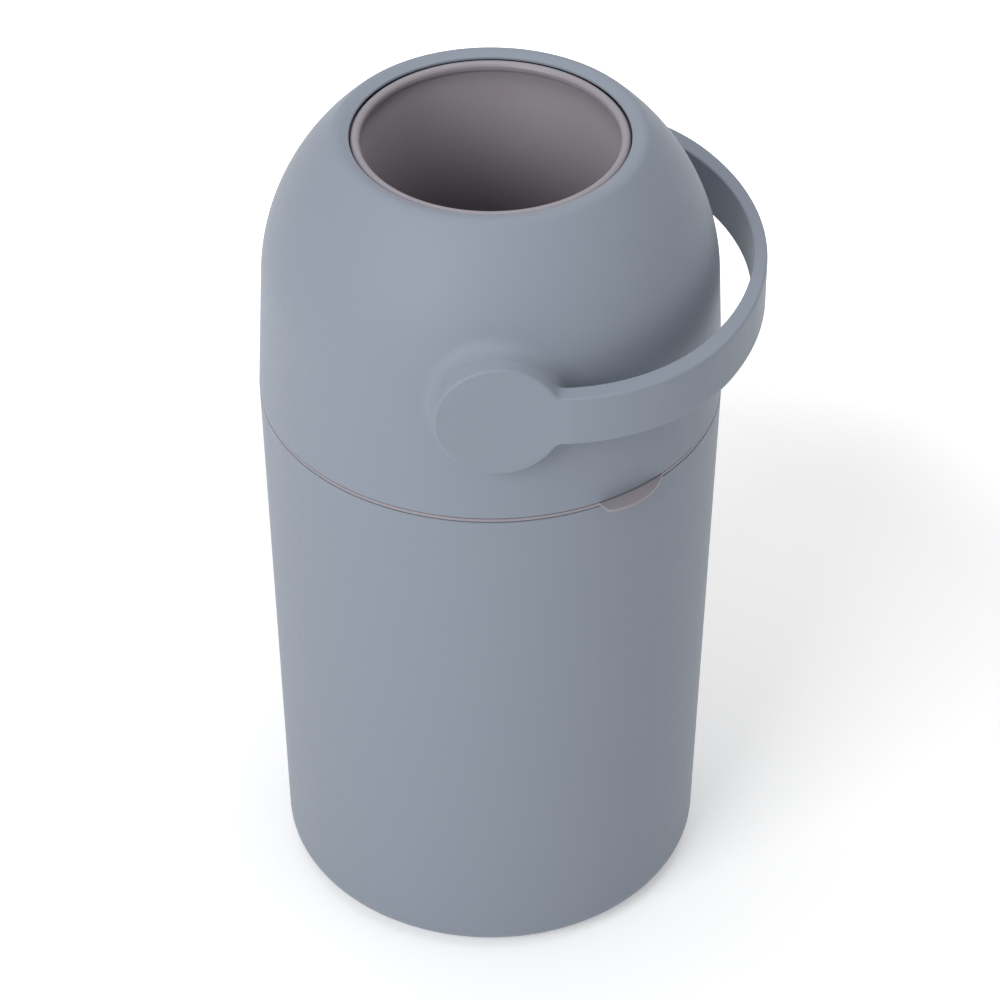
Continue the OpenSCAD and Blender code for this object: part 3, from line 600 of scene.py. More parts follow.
@cache
def screw_tree(shape: ScrewShape = ScrewShape()) -> bpy.types.NodeTree:
    """Build the tree that puts a screw on each point, once.

    Args:
        shape: The screws' proportions.

    Returns:
        The tree: a chamfered head below the point, less its hexagon, and a shank above it.
    """
    graph = Graph("screws_on_points", dict.fromkeys(("Shank", "Head", "Height", "Length"), "Float"))
    shank, head, height, length = (graph.given[n] for n in ("Shank", "Head", "Height", "Length"))
    plain = 1.0 - shape.chamfer
    blank = graph.add("GeometryNodeMeshCylinder", {
        "Vertices": shape.head_sides, "Radius": head, "Depth": graph.scaled(height, plain),
    })
    outer = graph.add("GeometryNodeExtrudeMesh", {
        "Mesh": blank.outputs["Mesh"], "Selection": blank.outputs["Bottom"],
        "Offset Scale": graph.scaled(height, shape.chamfer), "Individual": False,
    })
    chamfered = graph.add("GeometryNodeScaleElements", {
        "Geometry": outer.outputs["Mesh"], "Selection": outer.outputs["Top"], "Scale": shape.top,
    })
    key = graph.add("GeometryNodeMeshCylinder", {
        "Vertices": shape.key_sides, "Radius": graph.scaled(head, shape.key), "Depth": height,
    })
    cut = graph.add("GeometryNodeMeshBoolean", {
        "Mesh 1": graph.lifted(chamfered.outputs["Geometry"], graph.scaled(height, -plain / 2)),
        "Mesh 2": graph.lifted(key.outputs["Mesh"], graph.scaled(height, shape.key_depth - 1.5)),
    }, operation="DIFFERENCE", solver="EXACT")
    stem = graph.add("GeometryNodeMeshCylinder", {
        "Vertices": shape.shank_sides, "Radius": shank, "Depth": length,
    })
    joined = graph.add("GeometryNodeJoinGeometry", {})
    for part in (cut.outputs["Mesh"], graph.lifted(stem.outputs["Mesh"], graph.scaled(length, 0.5))):
        graph.tree.links.new(part, joined.inputs[0])
    return graph.finish(instanced(graph, graph.given["Geometry"], joined.outputs[0]))


@cache
def recess_tree() -> bpy.types.NodeTree:
    """Build the tree that sinks a round recess into a shell at each of some places, once.

    Returns:
        The tree, whose cutters reach as far above the shell as below it.
    """
    graph = Graph("recesses_on_points", {
        "Places": "Object", "Radius": "Float", "Depth": "Float", "Sides": "Int",
    })
    places = graph.add("GeometryNodeObjectInfo", {"Object": graph.given["Places"]})
    cutter = graph.add("GeometryNodeMeshCylinder", {
        "Vertices": graph.given["Sides"],
        "Radius": graph.given["Radius"],
        "Depth": graph.scaled(graph.given["Depth"], 2.0),
    })
    cutters = instanced(graph, places.outputs["Geometry"], cutter.outputs["Mesh"])
    real = graph.add("GeometryNodeRealizeInstances", {"Geometry": cutters})
    cut = graph.add("GeometryNodeMeshBoolean", {
        "Mesh 1": graph.given["Geometry"], "Mesh 2": real.outputs[0],
    }, operation="DIFFERENCE", solver="EXACT")
    return graph.finish(cut.outputs["Mesh"])


@cache
def swept_ring_tree() -> bpy.types.NodeTree:
    """Build the tree that sweeps a closed section round a circle, once.

    Returns:
        The tree. The circle's normal is its profile's X, and the profile's Y points down.
    """
    graph = Graph("section_round_circle", {"Circle": "Float", "Steps": "Int"})
    profile = graph.add("GeometryNodeMeshToCurve", {"Mesh": graph.given["Geometry"]})
    path = graph.add("GeometryNodeCurvePrimitiveCircle", {
        "Resolution": graph.given["Steps"], "Radius": graph.given["Circle"],
    })
    upright = graph.add("GeometryNodeSetCurveNormal", {"Curve": path.outputs["Curve"]}, mode="Z_UP")
    swept = graph.add("GeometryNodeCurveToMesh", {
        "Curve": upright.outputs["Curve"], "Profile Curve": profile.outputs["Curve"],
    })
    return graph.finish(swept.outputs["Mesh"])


def grown(base: bpy.types.Object, tree: bpy.types.NodeTree, sizes: dict[str, object]) -> bpy.types.Object:
    """Run a tree on an object and return the result as a plain object.

    Args:
        base: The object that the tree starts from, which is removed.
        tree: The tree.
        sizes: A value for each named input.

    Returns:
        The new object, with the base's name and with outward faces.
    """
    modifier = base.modifiers.new("grow", "NODES")
    modifier.node_group = tree
    for item in tree.interface.items_tree:
        if item.item_type == "SOCKET" and item.in_out == "INPUT" and item.name in sizes:
            modifier[item.identifier] = sizes[item.name]
    evaluated = base.evaluated_get(bpy.context.evaluated_depsgraph_get())
    mesh = bpy.data.meshes.new_from_object(evaluated)
    base.modifiers.remove(modifier)
    work = bmesh.new()
    work.from_mesh(mesh)
    bmesh.ops.remove_doubles(work, verts=work.verts, dist=MERGE_M)
    bmesh.ops.recalc_face_normals(work, faces=work.faces)
    work.to_mesh(mesh)
    work.free()
    mesh.shade_smooth()
    mesh.set_sharp_from_angle(angle=math.radians(SHARP_DEG))
    name = base.name
    bpy.data.objects.remove(base)
    result = bpy.data.objects.new(name, mesh)
    bpy.context.scene.collection.objects.link(result)
    return result


def plain_object(name: str, points: list[Place], edges: list[tuple[int, int]]) -> bpy.types.Object:
    """Make an object of loose points or edges.

    Args:
        name: Name of the object.
        points: The points, in millimetres.
        edges: Pairs of points that are joined.

    Returns:
        The new object, in the scene.
    """
    mesh = bpy.data.meshes.new(name)
    mesh.from_pydata([tuple(c * MM for c in p) for p in points], edges, [])
    obj = bpy.data.objects.new(name, mesh)
    bpy.context.scene.collection.objects.link(obj)
    return obj


def place_object(name: str, places: Places) -> bpy.types.Object:
    """Make an object with a point for each place, which carries the place's direction.

    Args:
        name: Name of the object.
        places: The places and their directions.

    Returns:
        The new object, in the scene.
    """
    obj = plain_object(name, [point for point, _ in places], [])
    way = obj.data.attributes.new("way", "FLOAT_VECTOR", "POINT")
    way.data.foreach_set("vector", [c for _, direction in places for c in direction])
    return obj


def swept_ring(
    name: str, section: Points, circle: float, finish: Finish, body: Body, replaces: tuple[str, ...]
) -> bpy.types.Object:
    """Sweep a closed section round a circle about the Z axis.

    Args:
        name: Name of the piece.
        section: Points of (radius, height).
        circle: Radius of the circle that the section follows.
        finish: The piece's finish.
        body: The body it moves with.
        replaces: The CAD nodes that it stands for.

    Returns:
        The finished piece.
    """
    count = len(section)
    points = [(r - circle, -z, 0.0) for r, z in section]
    base = plain_object(name, points, [(i, (i + 1) % count) for i in range(count)])
    sizes = {"Circle": circle * MM, "Steps": SWEEP_STEPS, "Material": finish.material()}
    return settle(grown(base, swept_ring_tree(), sizes), finish, body, replaces)


# ---------------------------------------------------------------------------------------------
# Shared sizes
# ---------------------------------------------------------------------------------------------


@dataclass(frozen=True)
class Layout:
    """Sizes that several sub-assemblies share."""

    seam_z: float = 333.0
    seam_r: float = 130.0
    shadow_gap: float = 0.6
    ring_t: float = 2.0
    ring_gap: float = 0.45
    wall: float = 3.0
    dome_h: float = 163.2
    rim_drop: float = 2.1
    drum_half: float = 87.0
    hub_r: float = 34.3
    neck_face: float = 130.36
    hub_back: float = 130.86
    hub_face: float = 141.46
    tongue_az: float = 35.0

    @property
    def crest_z(self) -> float:
        """Height of the dome's crest."""
        return self.seam_z + self.dome_h

    @property
    def pivot_z(self) -> float:
        """Height of the drum's axis."""
        return self.crest_z - self.rim_drop - self.drum_half

    @property
    def ring_top(self) -> float:
        """Height of the seam ring's upper face."""
        return self.seam_z - self.shadow_gap / 2

    @property
    def ring_bottom(self) -> float:
        """Height of the seam ring's lower face."""
        return self.ring_top - self.ring_t

    @property
    def bucket_top(self) -> float:
        """Height of the bucket's edge."""
        return self.ring_bottom - self.ring_gap


LAYOUT = Layout()


# ---------------------------------------------------------------------------------------------
# Bucket
# ---------------------------------------------------------------------------------------------


@dataclass
class Bucket:
    """The tapered bucket with the bag ring's ledge, and the foot ring."""

    layout: Layout = LAYOUT
    draft: float = 1.34
    corner_r: float = 15.0
    floor_t: float = 4.0
    foot_proud: float = 0.6
    foot_r: float = 100.0
    foot_w: float = 8.0
    foot_groove: float = 1.8
    foot_soft_r: float = 0.4
    hollow_r: float = 88.0
    under_hollow: float = 1.2
    seam_play: float = 0.1
    groove_play: float = 0.1
    edge_r: float = 0.6
    bag_drop: float = 15.6
    bag_t: float = 2.4
    ledge_w: float = 3.4
    ledge_t: float = 2.5
    columns: int = 256

    def radius(self, z: float) -> float:
        """Return the outside radius at a height."""
        below = self.layout.bucket_top - z
        return self.layout.seam_r - self.seam_play - math.tan(math.radians(self.draft)) * below

    def corner(self, inset: float, bottom: float, radius: float) -> Bend:
        """Return the round corner between floor and wall.

        Args:
            inset: Distance of the skin from the outside.
            bottom: Height of the skin's lowest part.
            radius: Radius of the corner.

        Returns:
            The arc from the floor to the wall.
        """
        slope = math.radians(self.draft)
        centre_z = bottom + radius
        centre_r = self.radius(centre_z) - (inset + radius) / math.cos(slope)
        return Bend((centre_r, centre_z), radius, -90, -self.draft, 12)

    def section(self) -> Points:
        """Work out the bucket's section.

        Returns:
            The closed section, from the floor's middle round the outside to the inside.
        """
        lay = self.layout
        top, edge = lay.bucket_top, self.edge_r
        inner_floor = self.foot_proud + self.floor_t
        ledge_top = lay.seam_z - self.bag_drop - self.bag_t
        in_r = self.radius(ledge_top) - lay.wall
        out_top, in_top = self.radius(top), self.radius(top) - lay.wall
        groove_in = self.foot_r - self.foot_w / 2 - self.groove_play
        groove_out = self.foot_r + self.foot_w / 2 + self.groove_play
        groove_z = self.foot_proud + self.foot_groove
        outer = [
            (0.0, self.foot_proud + self.under_hollow),
            (self.hollow_r - 1.0, self.foot_proud + self.under_hollow),
            (self.hollow_r, self.foot_proud),
            (groove_in, self.foot_proud),
            (groove_in, groove_z),
            (groove_out, groove_z),
            (groove_out, self.foot_proud),
            self.corner(0.0, self.foot_proud, self.corner_r),
            Bend((out_top - edge, top - edge), edge, -self.draft, 90, 5),
            Bend((in_top + edge, top - edge), edge, 90, 180, 5),
        ]
        inner = [
            (in_r, ledge_top),
            (in_r - self.ledge_w, ledge_top),
            (in_r - self.ledge_w, ledge_top - self.ledge_t),
            (self.radius(ledge_top - 8) - lay.wall, ledge_top - self.ledge_t - self.ledge_w),
        ]
        floor = self.corner(lay.wall, inner_floor, self.corner_r - lay.wall)
        back = Bend(floor.centre, floor.radius, floor.end, floor.start, floor.steps)
        return trace([*outer, *inner, back, (0.0, inner_floor)], longest=6.0)

    def build(self) -> None:
        """Build the bucket and its foot ring."""
        shell = Sheet()
        shell.add_grid(revolved(self.section(), self.columns), True, False)
        shell.piece("bucket_shell", SOFT_TOUCH, Body.BASE, ("bucket",))
        self.build_foot()

    def build_foot(self) -> None:
        """Build the soft ring in the floor's groove, with rounded lower edges."""
        low_in, low_out = self.foot_r - self.foot_w / 2, self.foot_r + self.foot_w / 2
        top, soft = self.foot_proud + self.foot_groove, self.foot_soft_r
        section = trace([
            Bend((low_in + soft, soft), soft, 180, 270, 4),
            Bend((low_out - soft, soft), soft, 270, 360, 4),
            (low_out, top),
            (low_in, top),
        ], guard=0.15)
        swept_ring("foot_ring_soft", section, self.foot_r, RUBBER, Body.BASE, ("foot_ring",))


# ---------------------------------------------------------------------------------------------
# Dome
# ---------------------------------------------------------------------------------------------


@dataclass
class Dome:
    """The domed shell, with a round neck that flows out of it at each hub."""

    layout: Layout = LAYOUT
    draft: float = 2.65
    shoulder_r1: float = 120.0
    shoulder_a1: float = 19.0
    shoulder_r2: float = 131.0
    crest_round: float = 7.0
    mouth_r: float = 76.4
    crest_w: float = 5.6
    crest_high: float = 0.4
    lip_fall: float = 1.3
    lip_flat: float = 1.2
    lip_rise: float = 0.12
    lip_r: float = 0.7
    lip_low_r: float = 0.5
    lip_depth: float = 2.0
    lip_in: float = 3.0
    foot_edge: float = 0.5
    flare: float = 9.6
    boss_r: float = 24.0
    boss_face: float = 120.06
    neck_gap: float = 0.1
    neck_edge: float = 0.06
    bore_r: float = 12.55
    columns: int = 256
    block_columns: int = 44
    block_half_z: float = 52.0
    block_rows: int = 34
    rows_below: int = 6
    rows_above: int = 8
    row_guard: float = 0.3
    side_top: float = 16.0
    flare_reach: float = 26.0
    flare_samples: int = 271

    @property
    def neck_top(self) -> float:
        """Distance of the neck's visible face from the bin's middle."""
        return self.layout.hub_back - self.neck_gap

    def shoulder(self) -> tuple[np.ndarray, np.ndarray, np.ndarray, float]:
        """Work out the centres of the shoulder's two arcs.

        The lower arc touches the straight side, and the upper one touches the crest's round edge.

        Returns:
            Centres of the lower arc, the upper arc and the crest's round edge, and the angle at
            which the upper arc meets the round edge, with heights from the seam.
        """
        slope = math.radians(self.draft)
        normal = np.array([math.cos(slope), math.sin(slope)])
        along = np.array([-normal[1], normal[0]])
        turn = math.radians(self.shoulder_a1)
        step = (self.shoulder_r1 - self.shoulder_r2) * np.array([math.cos(turn), math.sin(turn)])
        base = (self.layout.seam_r * normal[0] - self.shoulder_r1) * normal
        crest = np.array([self.mouth_r + self.crest_w, self.layout.dome_h - self.crest_round])
        apart = base + step - crest
        half = float(apart @ along)
        rest = float(apart @ apart) - (self.shoulder_r2 - self.crest_round) ** 2
        lower = base + (-half - math.sqrt(half * half - rest)) * along
        upper = lower + step
        return lower, upper, crest, math.degrees(math.atan2(*(crest - upper)[::-1]))

    def skin(self, inset: float) -> Points:
        """Return the side of the dome from the seam to the end of the crest's round edge.

        Args:
            inset: Distance below the outside.

        Returns:
            Finely spaced points of (radius, height above the seam).
        """
        lower, upper, crest, meet = self.shoulder()
        foot = self.layout.seam_r - inset / math.cos(math.radians(self.draft))
        return [
            (foot, 0.0),
            *Bend(tuple(lower), self.shoulder_r1 - inset, self.draft, self.shoulder_a1, 60).points(),
            *Bend(tuple(upper), self.shoulder_r2 - inset, self.shoulder_a1, meet, 90).points()[1:],
            *Bend(tuple(crest), self.crest_round - inset, meet, 90, 24).points()[1:],
        ]

    def radius(self, z: np.ndarray | float, inset: float = 0.0) -> np.ndarray:
        """Return the radius of the dome's side at a height above the floor."""
        points = np.array(self.skin(inset))
        return np.interp(np.asarray(z) - self.layout.seam_z, points[:, 1], points[:, 0])

    def side_heights(self) -> list[float]:
        """Work out the grid's rows on the side, with the hub's block among them.

        Returns:
            The rows' heights above the floor, from the foot up.
        """
        lay = self.layout
        low, high = lay.pivot_z - self.block_half_z, lay.pivot_z + self.block_half_z
        foot = lay.seam_z + lay.shadow_gap / 2 + self.foot_edge
        below = np.linspace(foot + self.row_guard, low, self.rows_below + 1)[:-1]
        block = np.linspace(low, high, self.block_rows + 1)
        above = np.linspace(high, lay.crest_z - self.side_top, self.rows_above + 1)[1:]
        return [*below, *block, *above]

    def section(self) -> tuple[Points, int, int]:
        """Work out the dome's section.

        Returns:
            The closed section, and the first rows of the hub's block in the outer and inner skin.
        """
        lay = self.layout
        heights = self.side_heights()
        foot, edge = lay.seam_z + lay.shadow_gap / 2, self.foot_edge
        _, upper, crest, meet = self.shoulder()
        out_foot, in_foot = float(self.radius(foot)), float(self.radius(foot, lay.wall))
        outer = [(float(self.radius(z)), z) for z in heights]
        inner = [(float(self.radius(z, lay.wall)), z) for z in reversed(heights)]
        start = Bend((out_foot - edge, foot + edge), edge, -90, 0, 4).points()
        crest_z = crest + (0.0, lay.seam_z)
        upper_z = upper + (0.0, lay.seam_z)
        last = math.degrees(math.asin((heights[-1] - upper_z[1]) / self.shoulder_r2))
        lip_z = lay.crest_z - self.lip_fall
        lip_slope = math.degrees(math.atan2(self.lip_fall - self.crest_high, self.crest_w))
        low_z = lip_z - self.lip_depth
        lip, low_lip = self.lip_r, self.lip_low_r
        over = [
            *Bend(tuple(upper_z), self.shoulder_r2, last, meet, 8).points()[1:],
            *Bend(tuple(crest_z), self.crest_round, meet, 90 + lip_slope, 10).points()[1:],
            (self.mouth_r + self.lip_flat, lip_z + self.lip_rise),
            *Bend((self.mouth_r + lip, lip_z - lip), lip, 90 + lip_slope, 180, 4).points(),
            *Bend((self.mouth_r + low_lip, low_z + low_lip), low_lip, 180, 270, 3).points(),
            (self.mouth_r + self.lip_in, low_z),
        ]
        small = self.crest_round - lay.wall
        under = [
            *Bend(tuple(crest_z), small, 80, meet, 6).points(),
            *Bend(tuple(upper_z), self.shoulder_r2 - lay.wall, meet, last, 8).points()[1:-1],
        ]
        section = [*start, *outer, *over, *under, *inner, (in_foot, foot)]
        first_outer = len(start) + self.rows_below
        first_inner = len(section) - 1 - self.rows_below - self.block_rows - 1
        return section, first_outer, first_inner

    def fillet(self, angle: float) -> Points:
        """Return the neck's hollow curve in one plane through the hub's axis.

        A ball of the flare's radius rests on the dome and touches the neck's wall, or, where the
        neck is too low for that, its edge.

        Args:
            angle: Direction of the plane about the hub's axis, in radians, from +X towards +Z.

        Returns:
            Points of (distance from the hub's axis, distance from the bin's middle along it), from
            the dome to the neck's edge.
        """
        lay = self.layout
        reach = np.linspace(lay.hub_r - 1.0, lay.hub_r + self.flare_reach, self.flare_samples)
        along = reach * math.cos(angle)
        out = np.sqrt(self.radius(lay.pivot_z + reach * math.sin(angle)) ** 2 - along**2)
        slope = np.gradient(out, reach)
        centre_r = reach - self.flare * slope / np.hypot(1, slope)
        centre_y = out + self.flare / np.hypot(1, slope)
        edge_y = self.neck_top - self.neck_edge
        wall_r = lay.hub_r + self.flare
        index = int(np.argmax(centre_r >= wall_r))
        if centre_y[index] > edge_y:
            gap = np.hypot(centre_r - lay.hub_r, centre_y - edge_y) - self.flare
            index = int(np.argmax(gap >= 0))
        centre = np.array([centre_r[index], centre_y[index]])
        touch = np.array([reach[index], out[index]])
        end = np.array([lay.hub_r, min(centre[1], edge_y)])
        a0 = math.atan2(*(touch - centre)[::-1])
        a1 = math.atan2(*(end - centre)[::-1])
        a1 += -2 * math.pi if a1 > 0 else 0.0
        turns = np.linspace(a0, a1, 9)
        return [tuple(centre + self.flare * np.array([math.cos(a), math.sin(a)])) for a in turns]

    def hub_rings(self, outer: np.ndarray, inner: np.ndarray) -> np.ndarray:
        """Return the rings from the outer block's border through the neck to the inner border.

        Args:
            outer: The border of the hole in the outer skin, shape (count, 3).
            inner: The border of the hole in the inner skin, shape (count, 3).

        Returns:
            Array of shape (rings, count, 3).
        """
        lay = self.layout
        pocket_r = lay.hub_r - lay.wall
        edge, top = self.neck_edge, self.neck_top
        columns = []
        for near, far in zip(outer, inner):
            angle = math.atan2(near[2] - lay.pivot_z, near[0])
            curve = self.fillet(angle)
            spread = math.hypot(near[0], near[2] - lay.pivot_z)
            skirt = [self.on_skin(r, angle, 0.0) for r in spaced(spread, curve[0][0], 9)]
            neck = [
                *curve,
                (lay.hub_r, (curve[-1][1] + top - edge) / 2),
                *Bend((lay.hub_r - edge, top - edge), edge, 0, 90, 3).points(),
                (self.boss_r, top),
                (self.bore_r, top),
                (self.bore_r, self.boss_face),
                (self.boss_r, self.boss_face),
                (self.boss_r, lay.neck_face - lay.wall),
                (pocket_r, lay.neck_face - lay.wall),
            ]
            wide = math.hypot(far[0], far[2] - lay.pivot_z)
            inner_angle = math.atan2(far[2] - lay.pivot_z, far[0])
            lining = [self.on_skin(r, inner_angle, lay.wall) for r in spaced(pocket_r, wide, 7)]
            columns.append([tuple(near), *skirt[1:-1], *[self.in_plane(p, angle) for p in neck],
                            *lining[:-1], tuple(far)])
        return np.array(columns).transpose(1, 0, 2)

    def on_skin(self, reach: float, angle: float, inset: float) -> tuple[float, float, float]:
        """Find a point on the front of the dome's skin.

        Args:
            reach: Distance from the hub's axis.
            angle: Direction about the hub's axis, in radians, from +X towards +Z.
            inset: Distance of the skin below the outside.

        Returns:
            The point.
        """
        x = reach * math.cos(angle)
        z = self.layout.pivot_z + reach * math.sin(angle)
        return x, -math.sqrt(float(self.radius(z, inset)) ** 2 - x * x), z

    def in_plane(self, point: Point, angle: float) -> tuple[float, float, float]:
        """Return the place of a section point in a plane through the front hub's axis."""
        reach, out = point
        return reach * math.cos(angle), -out, self.layout.pivot_z + reach * math.sin(angle)

    def build(self) -> None:
        """Build the dome as one closed skin."""
        section, first_outer, first_inner = self.section()
        grid = revolved(section, self.columns)
        count = len(section)
        sheet = Sheet(vertices=list(map(tuple, grid.reshape(-1, 3))))
        half = self.block_columns // 2
        blocks = [((self.columns * 3 // 4) - half), (self.columns // 4) - half]
        for i in range(self.columns):
            k = (i + 1) % self.columns
            in_columns = any((i - start) % self.columns < self.block_columns for start in blocks)
            for j in range(count):
                in_rows = any(0 <= j - first < self.block_rows for first in (first_outer, first_inner))
                if in_columns and in_rows:
                    continue
                m = (j + 1) % count
                sheet.faces.append((i * count + j, k * count + j, k * count + m, i * count + m))
        for side, start in zip((1.0, -1.0), blocks):
            self.add_hub(sheet, grid, start, (first_outer, first_inner), side)
        sheet.piece("dome_shell", SOFT_TOUCH, Body.HEAD, ("dome",))

    def add_hub(
        self, sheet: Sheet, grid: np.ndarray, start: int, firsts: tuple[int, int], side: float
    ) -> None:
        """Fill one hub's holes in the two skins with the neck between them.

        Args:
            sheet: The dome's sheet, which the rings are added to.
            grid: The revolved grid, shape (columns, rows, 3).
            start: The hole's first column.
            firsts: The hole's first rows in the outer and the inner skin.
            side: 1 for the front hub, -1 for the rear one.
        """
        last = start + self.block_columns
        first_outer, first_inner = firsts
        border = [(i, 0) for i in range(start, last)]
        border += [(last, j) for j in range(self.block_rows)]
        border += [(i, self.block_rows) for i in range(last, start, -1)]
        border += [(start, j) for j in range(self.block_rows, 0, -1)]
        outer = np.array([grid[i % self.columns, first_outer + j] for i, j in border])
        inner = np.array([grid[i % self.columns, first_inner + self.block_rows - j] for i, j in border])
        turn = np.array([side, side, 1.0])
        rings = self.hub_rings(outer * turn, inner * turn) * turn
        sheet.add_grid(rings, False, True)


def spaced(start: float, end: float, steps: int) -> np.ndarray:
    """Return evenly spaced values, both ends included."""
    return np.linspace(start, end, steps + 1)


# ---------------------------------------------------------------------------------------------
# Seam ring
# ---------------------------------------------------------------------------------------------


@dataclass
class SeamRing:
    """The mauve chassis ring with its thumb tongue, and the hinge at its back."""

    layout: Layout = LAYOUT
    ring_r: float = 129.7
    edge_r: float = 0.6
    tongue_out: float = 9.5
    tongue_end: float = 21.8
    tongue_edge_r: float = 40.0
    tongue_shift: float = 6.0
    tongue_corner_r: float = 3.0
    tongue_guard: float = 0.4
    flat_in: float = 1.6
    ring_columns: int = 300
    spigot_r: float = 126.1
    spigot_h: float = 8.0
    spigot_t: float = 2.2
    skirt_r: float = 126.2
    skirt_h: float = 7.2
    skirt_t: float = 2.3
    throat_r: float = 84.0
    funnel_r: float = 116.08
    funnel_t: float = 2.4
    hinge_out: float = 5.2
    knuckle_r: float = 4.2
    knuckle_len: float = 20.0
    arm_low: float = 0.2
    arm_top: float = 2.2
    arm_in: float = 2.0
    pin_drop: float = 2.5
    pin_bore: float = 2.05

    def outline(self) -> tuple[np.ndarray, np.ndarray]:
        """Return the ring's outline seen from above, with the tongue, and its outward normals.

        Returns:
            Points of shape (count, 2) and unit normals of the same shape, in the bin's frame.
        """
        c1 = np.array([-self.tongue_shift, self.tongue_edge_r - self.ring_r - self.tongue_out])
        x2 = self.tongue_corner_r - self.tongue_end
        drop = math.sqrt((self.tongue_edge_r - self.tongue_corner_r) ** 2 - (x2 - c1[0]) ** 2)
        c2 = np.array([x2, c1[1] - drop])
        meet = math.degrees(math.atan2(c2[1] - c1[1], c2[0] - c1[0]))
        blunt_y = -math.sqrt(self.ring_r**2 - self.tongue_end**2)
        run_out = self.crossing(c1)
        points, normals = [], []
        for y in np.linspace(blunt_y, c2[1], 9)[1:-1]:
            points.append((-self.tongue_end, y))
            normals.append((-1.0, 0.0))
        for centre, radius, start, end, steps in (
            (c2, self.tongue_corner_r, -180.0, meet, 10),
            (c1, self.tongue_edge_r, meet, run_out, 40),
        ):
            for a in np.radians(np.linspace(start, end, steps + 1)[: -1 if centre is c2 else None]):
                way = np.array([math.cos(a), math.sin(a)])
                points.append(tuple(centre + radius * way))
                normals.append(tuple(way))
        begin = math.degrees(math.atan2(points[-1][1], points[-1][0])) + self.tongue_guard
        finish = math.degrees(math.atan2(blunt_y, -self.tongue_end)) + 360.0
        for a in np.radians(np.linspace(begin, finish, self.ring_columns)):
            way = np.array([math.cos(a), math.sin(a)])
            points.append(tuple(self.ring_r * way))
            normals.append(tuple(way))
        turn = math.radians(self.layout.tongue_az)
        rotate = np.array([[math.cos(turn), -math.sin(turn)], [math.sin(turn), math.cos(turn)]])
        return np.array(points) @ rotate.T, np.array(normals) @ rotate.T

    def crossing(self, centre: np.ndarray) -> float:
        """Find where the tongue's edge runs into the ring.

        Args:
            centre: Centre of the tongue's edge.

        Returns:
            The angle about that centre, in degrees.
        """
        angles = np.radians(np.linspace(-90, -20, 1401))
        x = centre[0] + self.tongue_edge_r * np.cos(angles)
        y = centre[1] + self.tongue_edge_r * np.sin(angles)
        return math.degrees(angles[int(np.argmax(np.hypot(x, y) < self.ring_r))])

    def inner_section(self) -> Points:
        """Work out the ring's section inside its visible edge.

        Returns:
            The points from the upper face over spigot, funnel and skirt to the lower face.
        """
        lay = self.layout
        pivot = lay.pivot_z
        top, low = lay.ring_top, lay.ring_bottom
        shell = self.funnel_r + self.funnel_t
        enter = math.degrees(math.asin((top - pivot) / self.funnel_r))
        lip = -math.degrees(math.acos(self.throat_r / shell))
        inner_lip = -math.degrees(math.acos(self.throat_r / self.funnel_r))
        join = math.degrees(math.asin((low - pivot) / shell))
        return trace([
            (self.spigot_r, top),
            (self.spigot_r, top + self.spigot_h),
            (self.spigot_r - self.spigot_t, top + self.spigot_h),
            (self.spigot_r - self.spigot_t, top),
            Bend((0.0, pivot), self.funnel_r, enter, inner_lip, 12),
            Bend((0.0, pivot), shell, lip, join, 12),
            (self.skirt_r - self.skirt_t, low),
            (self.skirt_r - self.skirt_t, low - self.skirt_h),
            (self.skirt_r, low - self.skirt_h),
            (self.skirt_r, low),
        ], guard=0.3)

    def build(self) -> None:
        """Build the ring and its knuckle as one piece."""
        lay = self.layout
        points, normals = self.outline()
        sheet = Sheet()
        inner = self.inner_section()
        rows = []
        for point, normal in zip(points, normals):
            way = point / np.hypot(*point)
            row = []
            for reach, z in Bend((0.0, lay.ring_bottom + self.edge_r), self.edge_r, -90, 0, 4).points():
                row.append((*(point - normal * (self.edge_r - reach)), z))
            for reach, z in Bend((0.0, lay.ring_top - self.edge_r), self.edge_r, 0, 90, 4).points():
                row.append((*(point - normal * (self.edge_r - reach)), z))
            row.append((*(way * (self.ring_r - self.flat_in)), lay.ring_top))
            row.extend((*(way * r), z) for r, z in inner)
            row.append((*(way * (self.ring_r - self.flat_in)), lay.ring_bottom))
            rows.append(row)
        sheet.add_grid(np.array(rows), True, True)
        self.add_knuckle(sheet)
        sheet.piece("seam_ring_with_tongue", MAUVE, Body.HEAD, ("seam_ring",))

    def add_knuckle(self, sheet: Sheet) -> None:
        """Add the head's hinge knuckle with its arm, bored for the pin.

        Args:
            sheet: The ring's sheet, which the knuckle is added to.
        """
        lay = self.layout
        back = -self.hinge_out - self.arm_in
        upper = 180 - math.degrees(math.asin(self.arm_top / self.knuckle_r))
        outline = trace([
            (back, self.arm_low),
            (back, self.arm_top),
            Bend((0.0, 0.0), self.knuckle_r, upper, -176, 30),
        ], longest=1.5, guard=0.2)
        bore = [
            tuple(np.array(p) / np.hypot(*p) * self.pin_bore) for p in outline
        ]
        ends = (-self.knuckle_len / 2, self.knuckle_len / 2)
        turn = math.radians(lay.tongue_az)

        def place(x: float, p: Point) -> tuple[float, float, float]:
            """Turn a point of the knuckle's end face into the bin's frame.

            Args:
                x: Distance of the face from the knuckle's middle.
                p: The point, outwards and up from the pin's axis.

            Returns:
                The point in the bin's frame.
            """
            y = self.ring_r + self.hinge_out + p[0]
            return (x * math.cos(turn) - y * math.sin(turn),
                    x * math.sin(turn) + y * math.cos(turn),
                    lay.seam_z - self.pin_drop + p[1])

        rings = [[place(ends[0], p) for p in bore], [place(ends[0], p) for p in outline],
                 [place(ends[1], p) for p in outline], [place(ends[1], p) for p in bore]]
        sheet.add_grid(np.array(rings), True, True)


# ---------------------------------------------------------------------------------------------
# Drum
# ---------------------------------------------------------------------------------------------


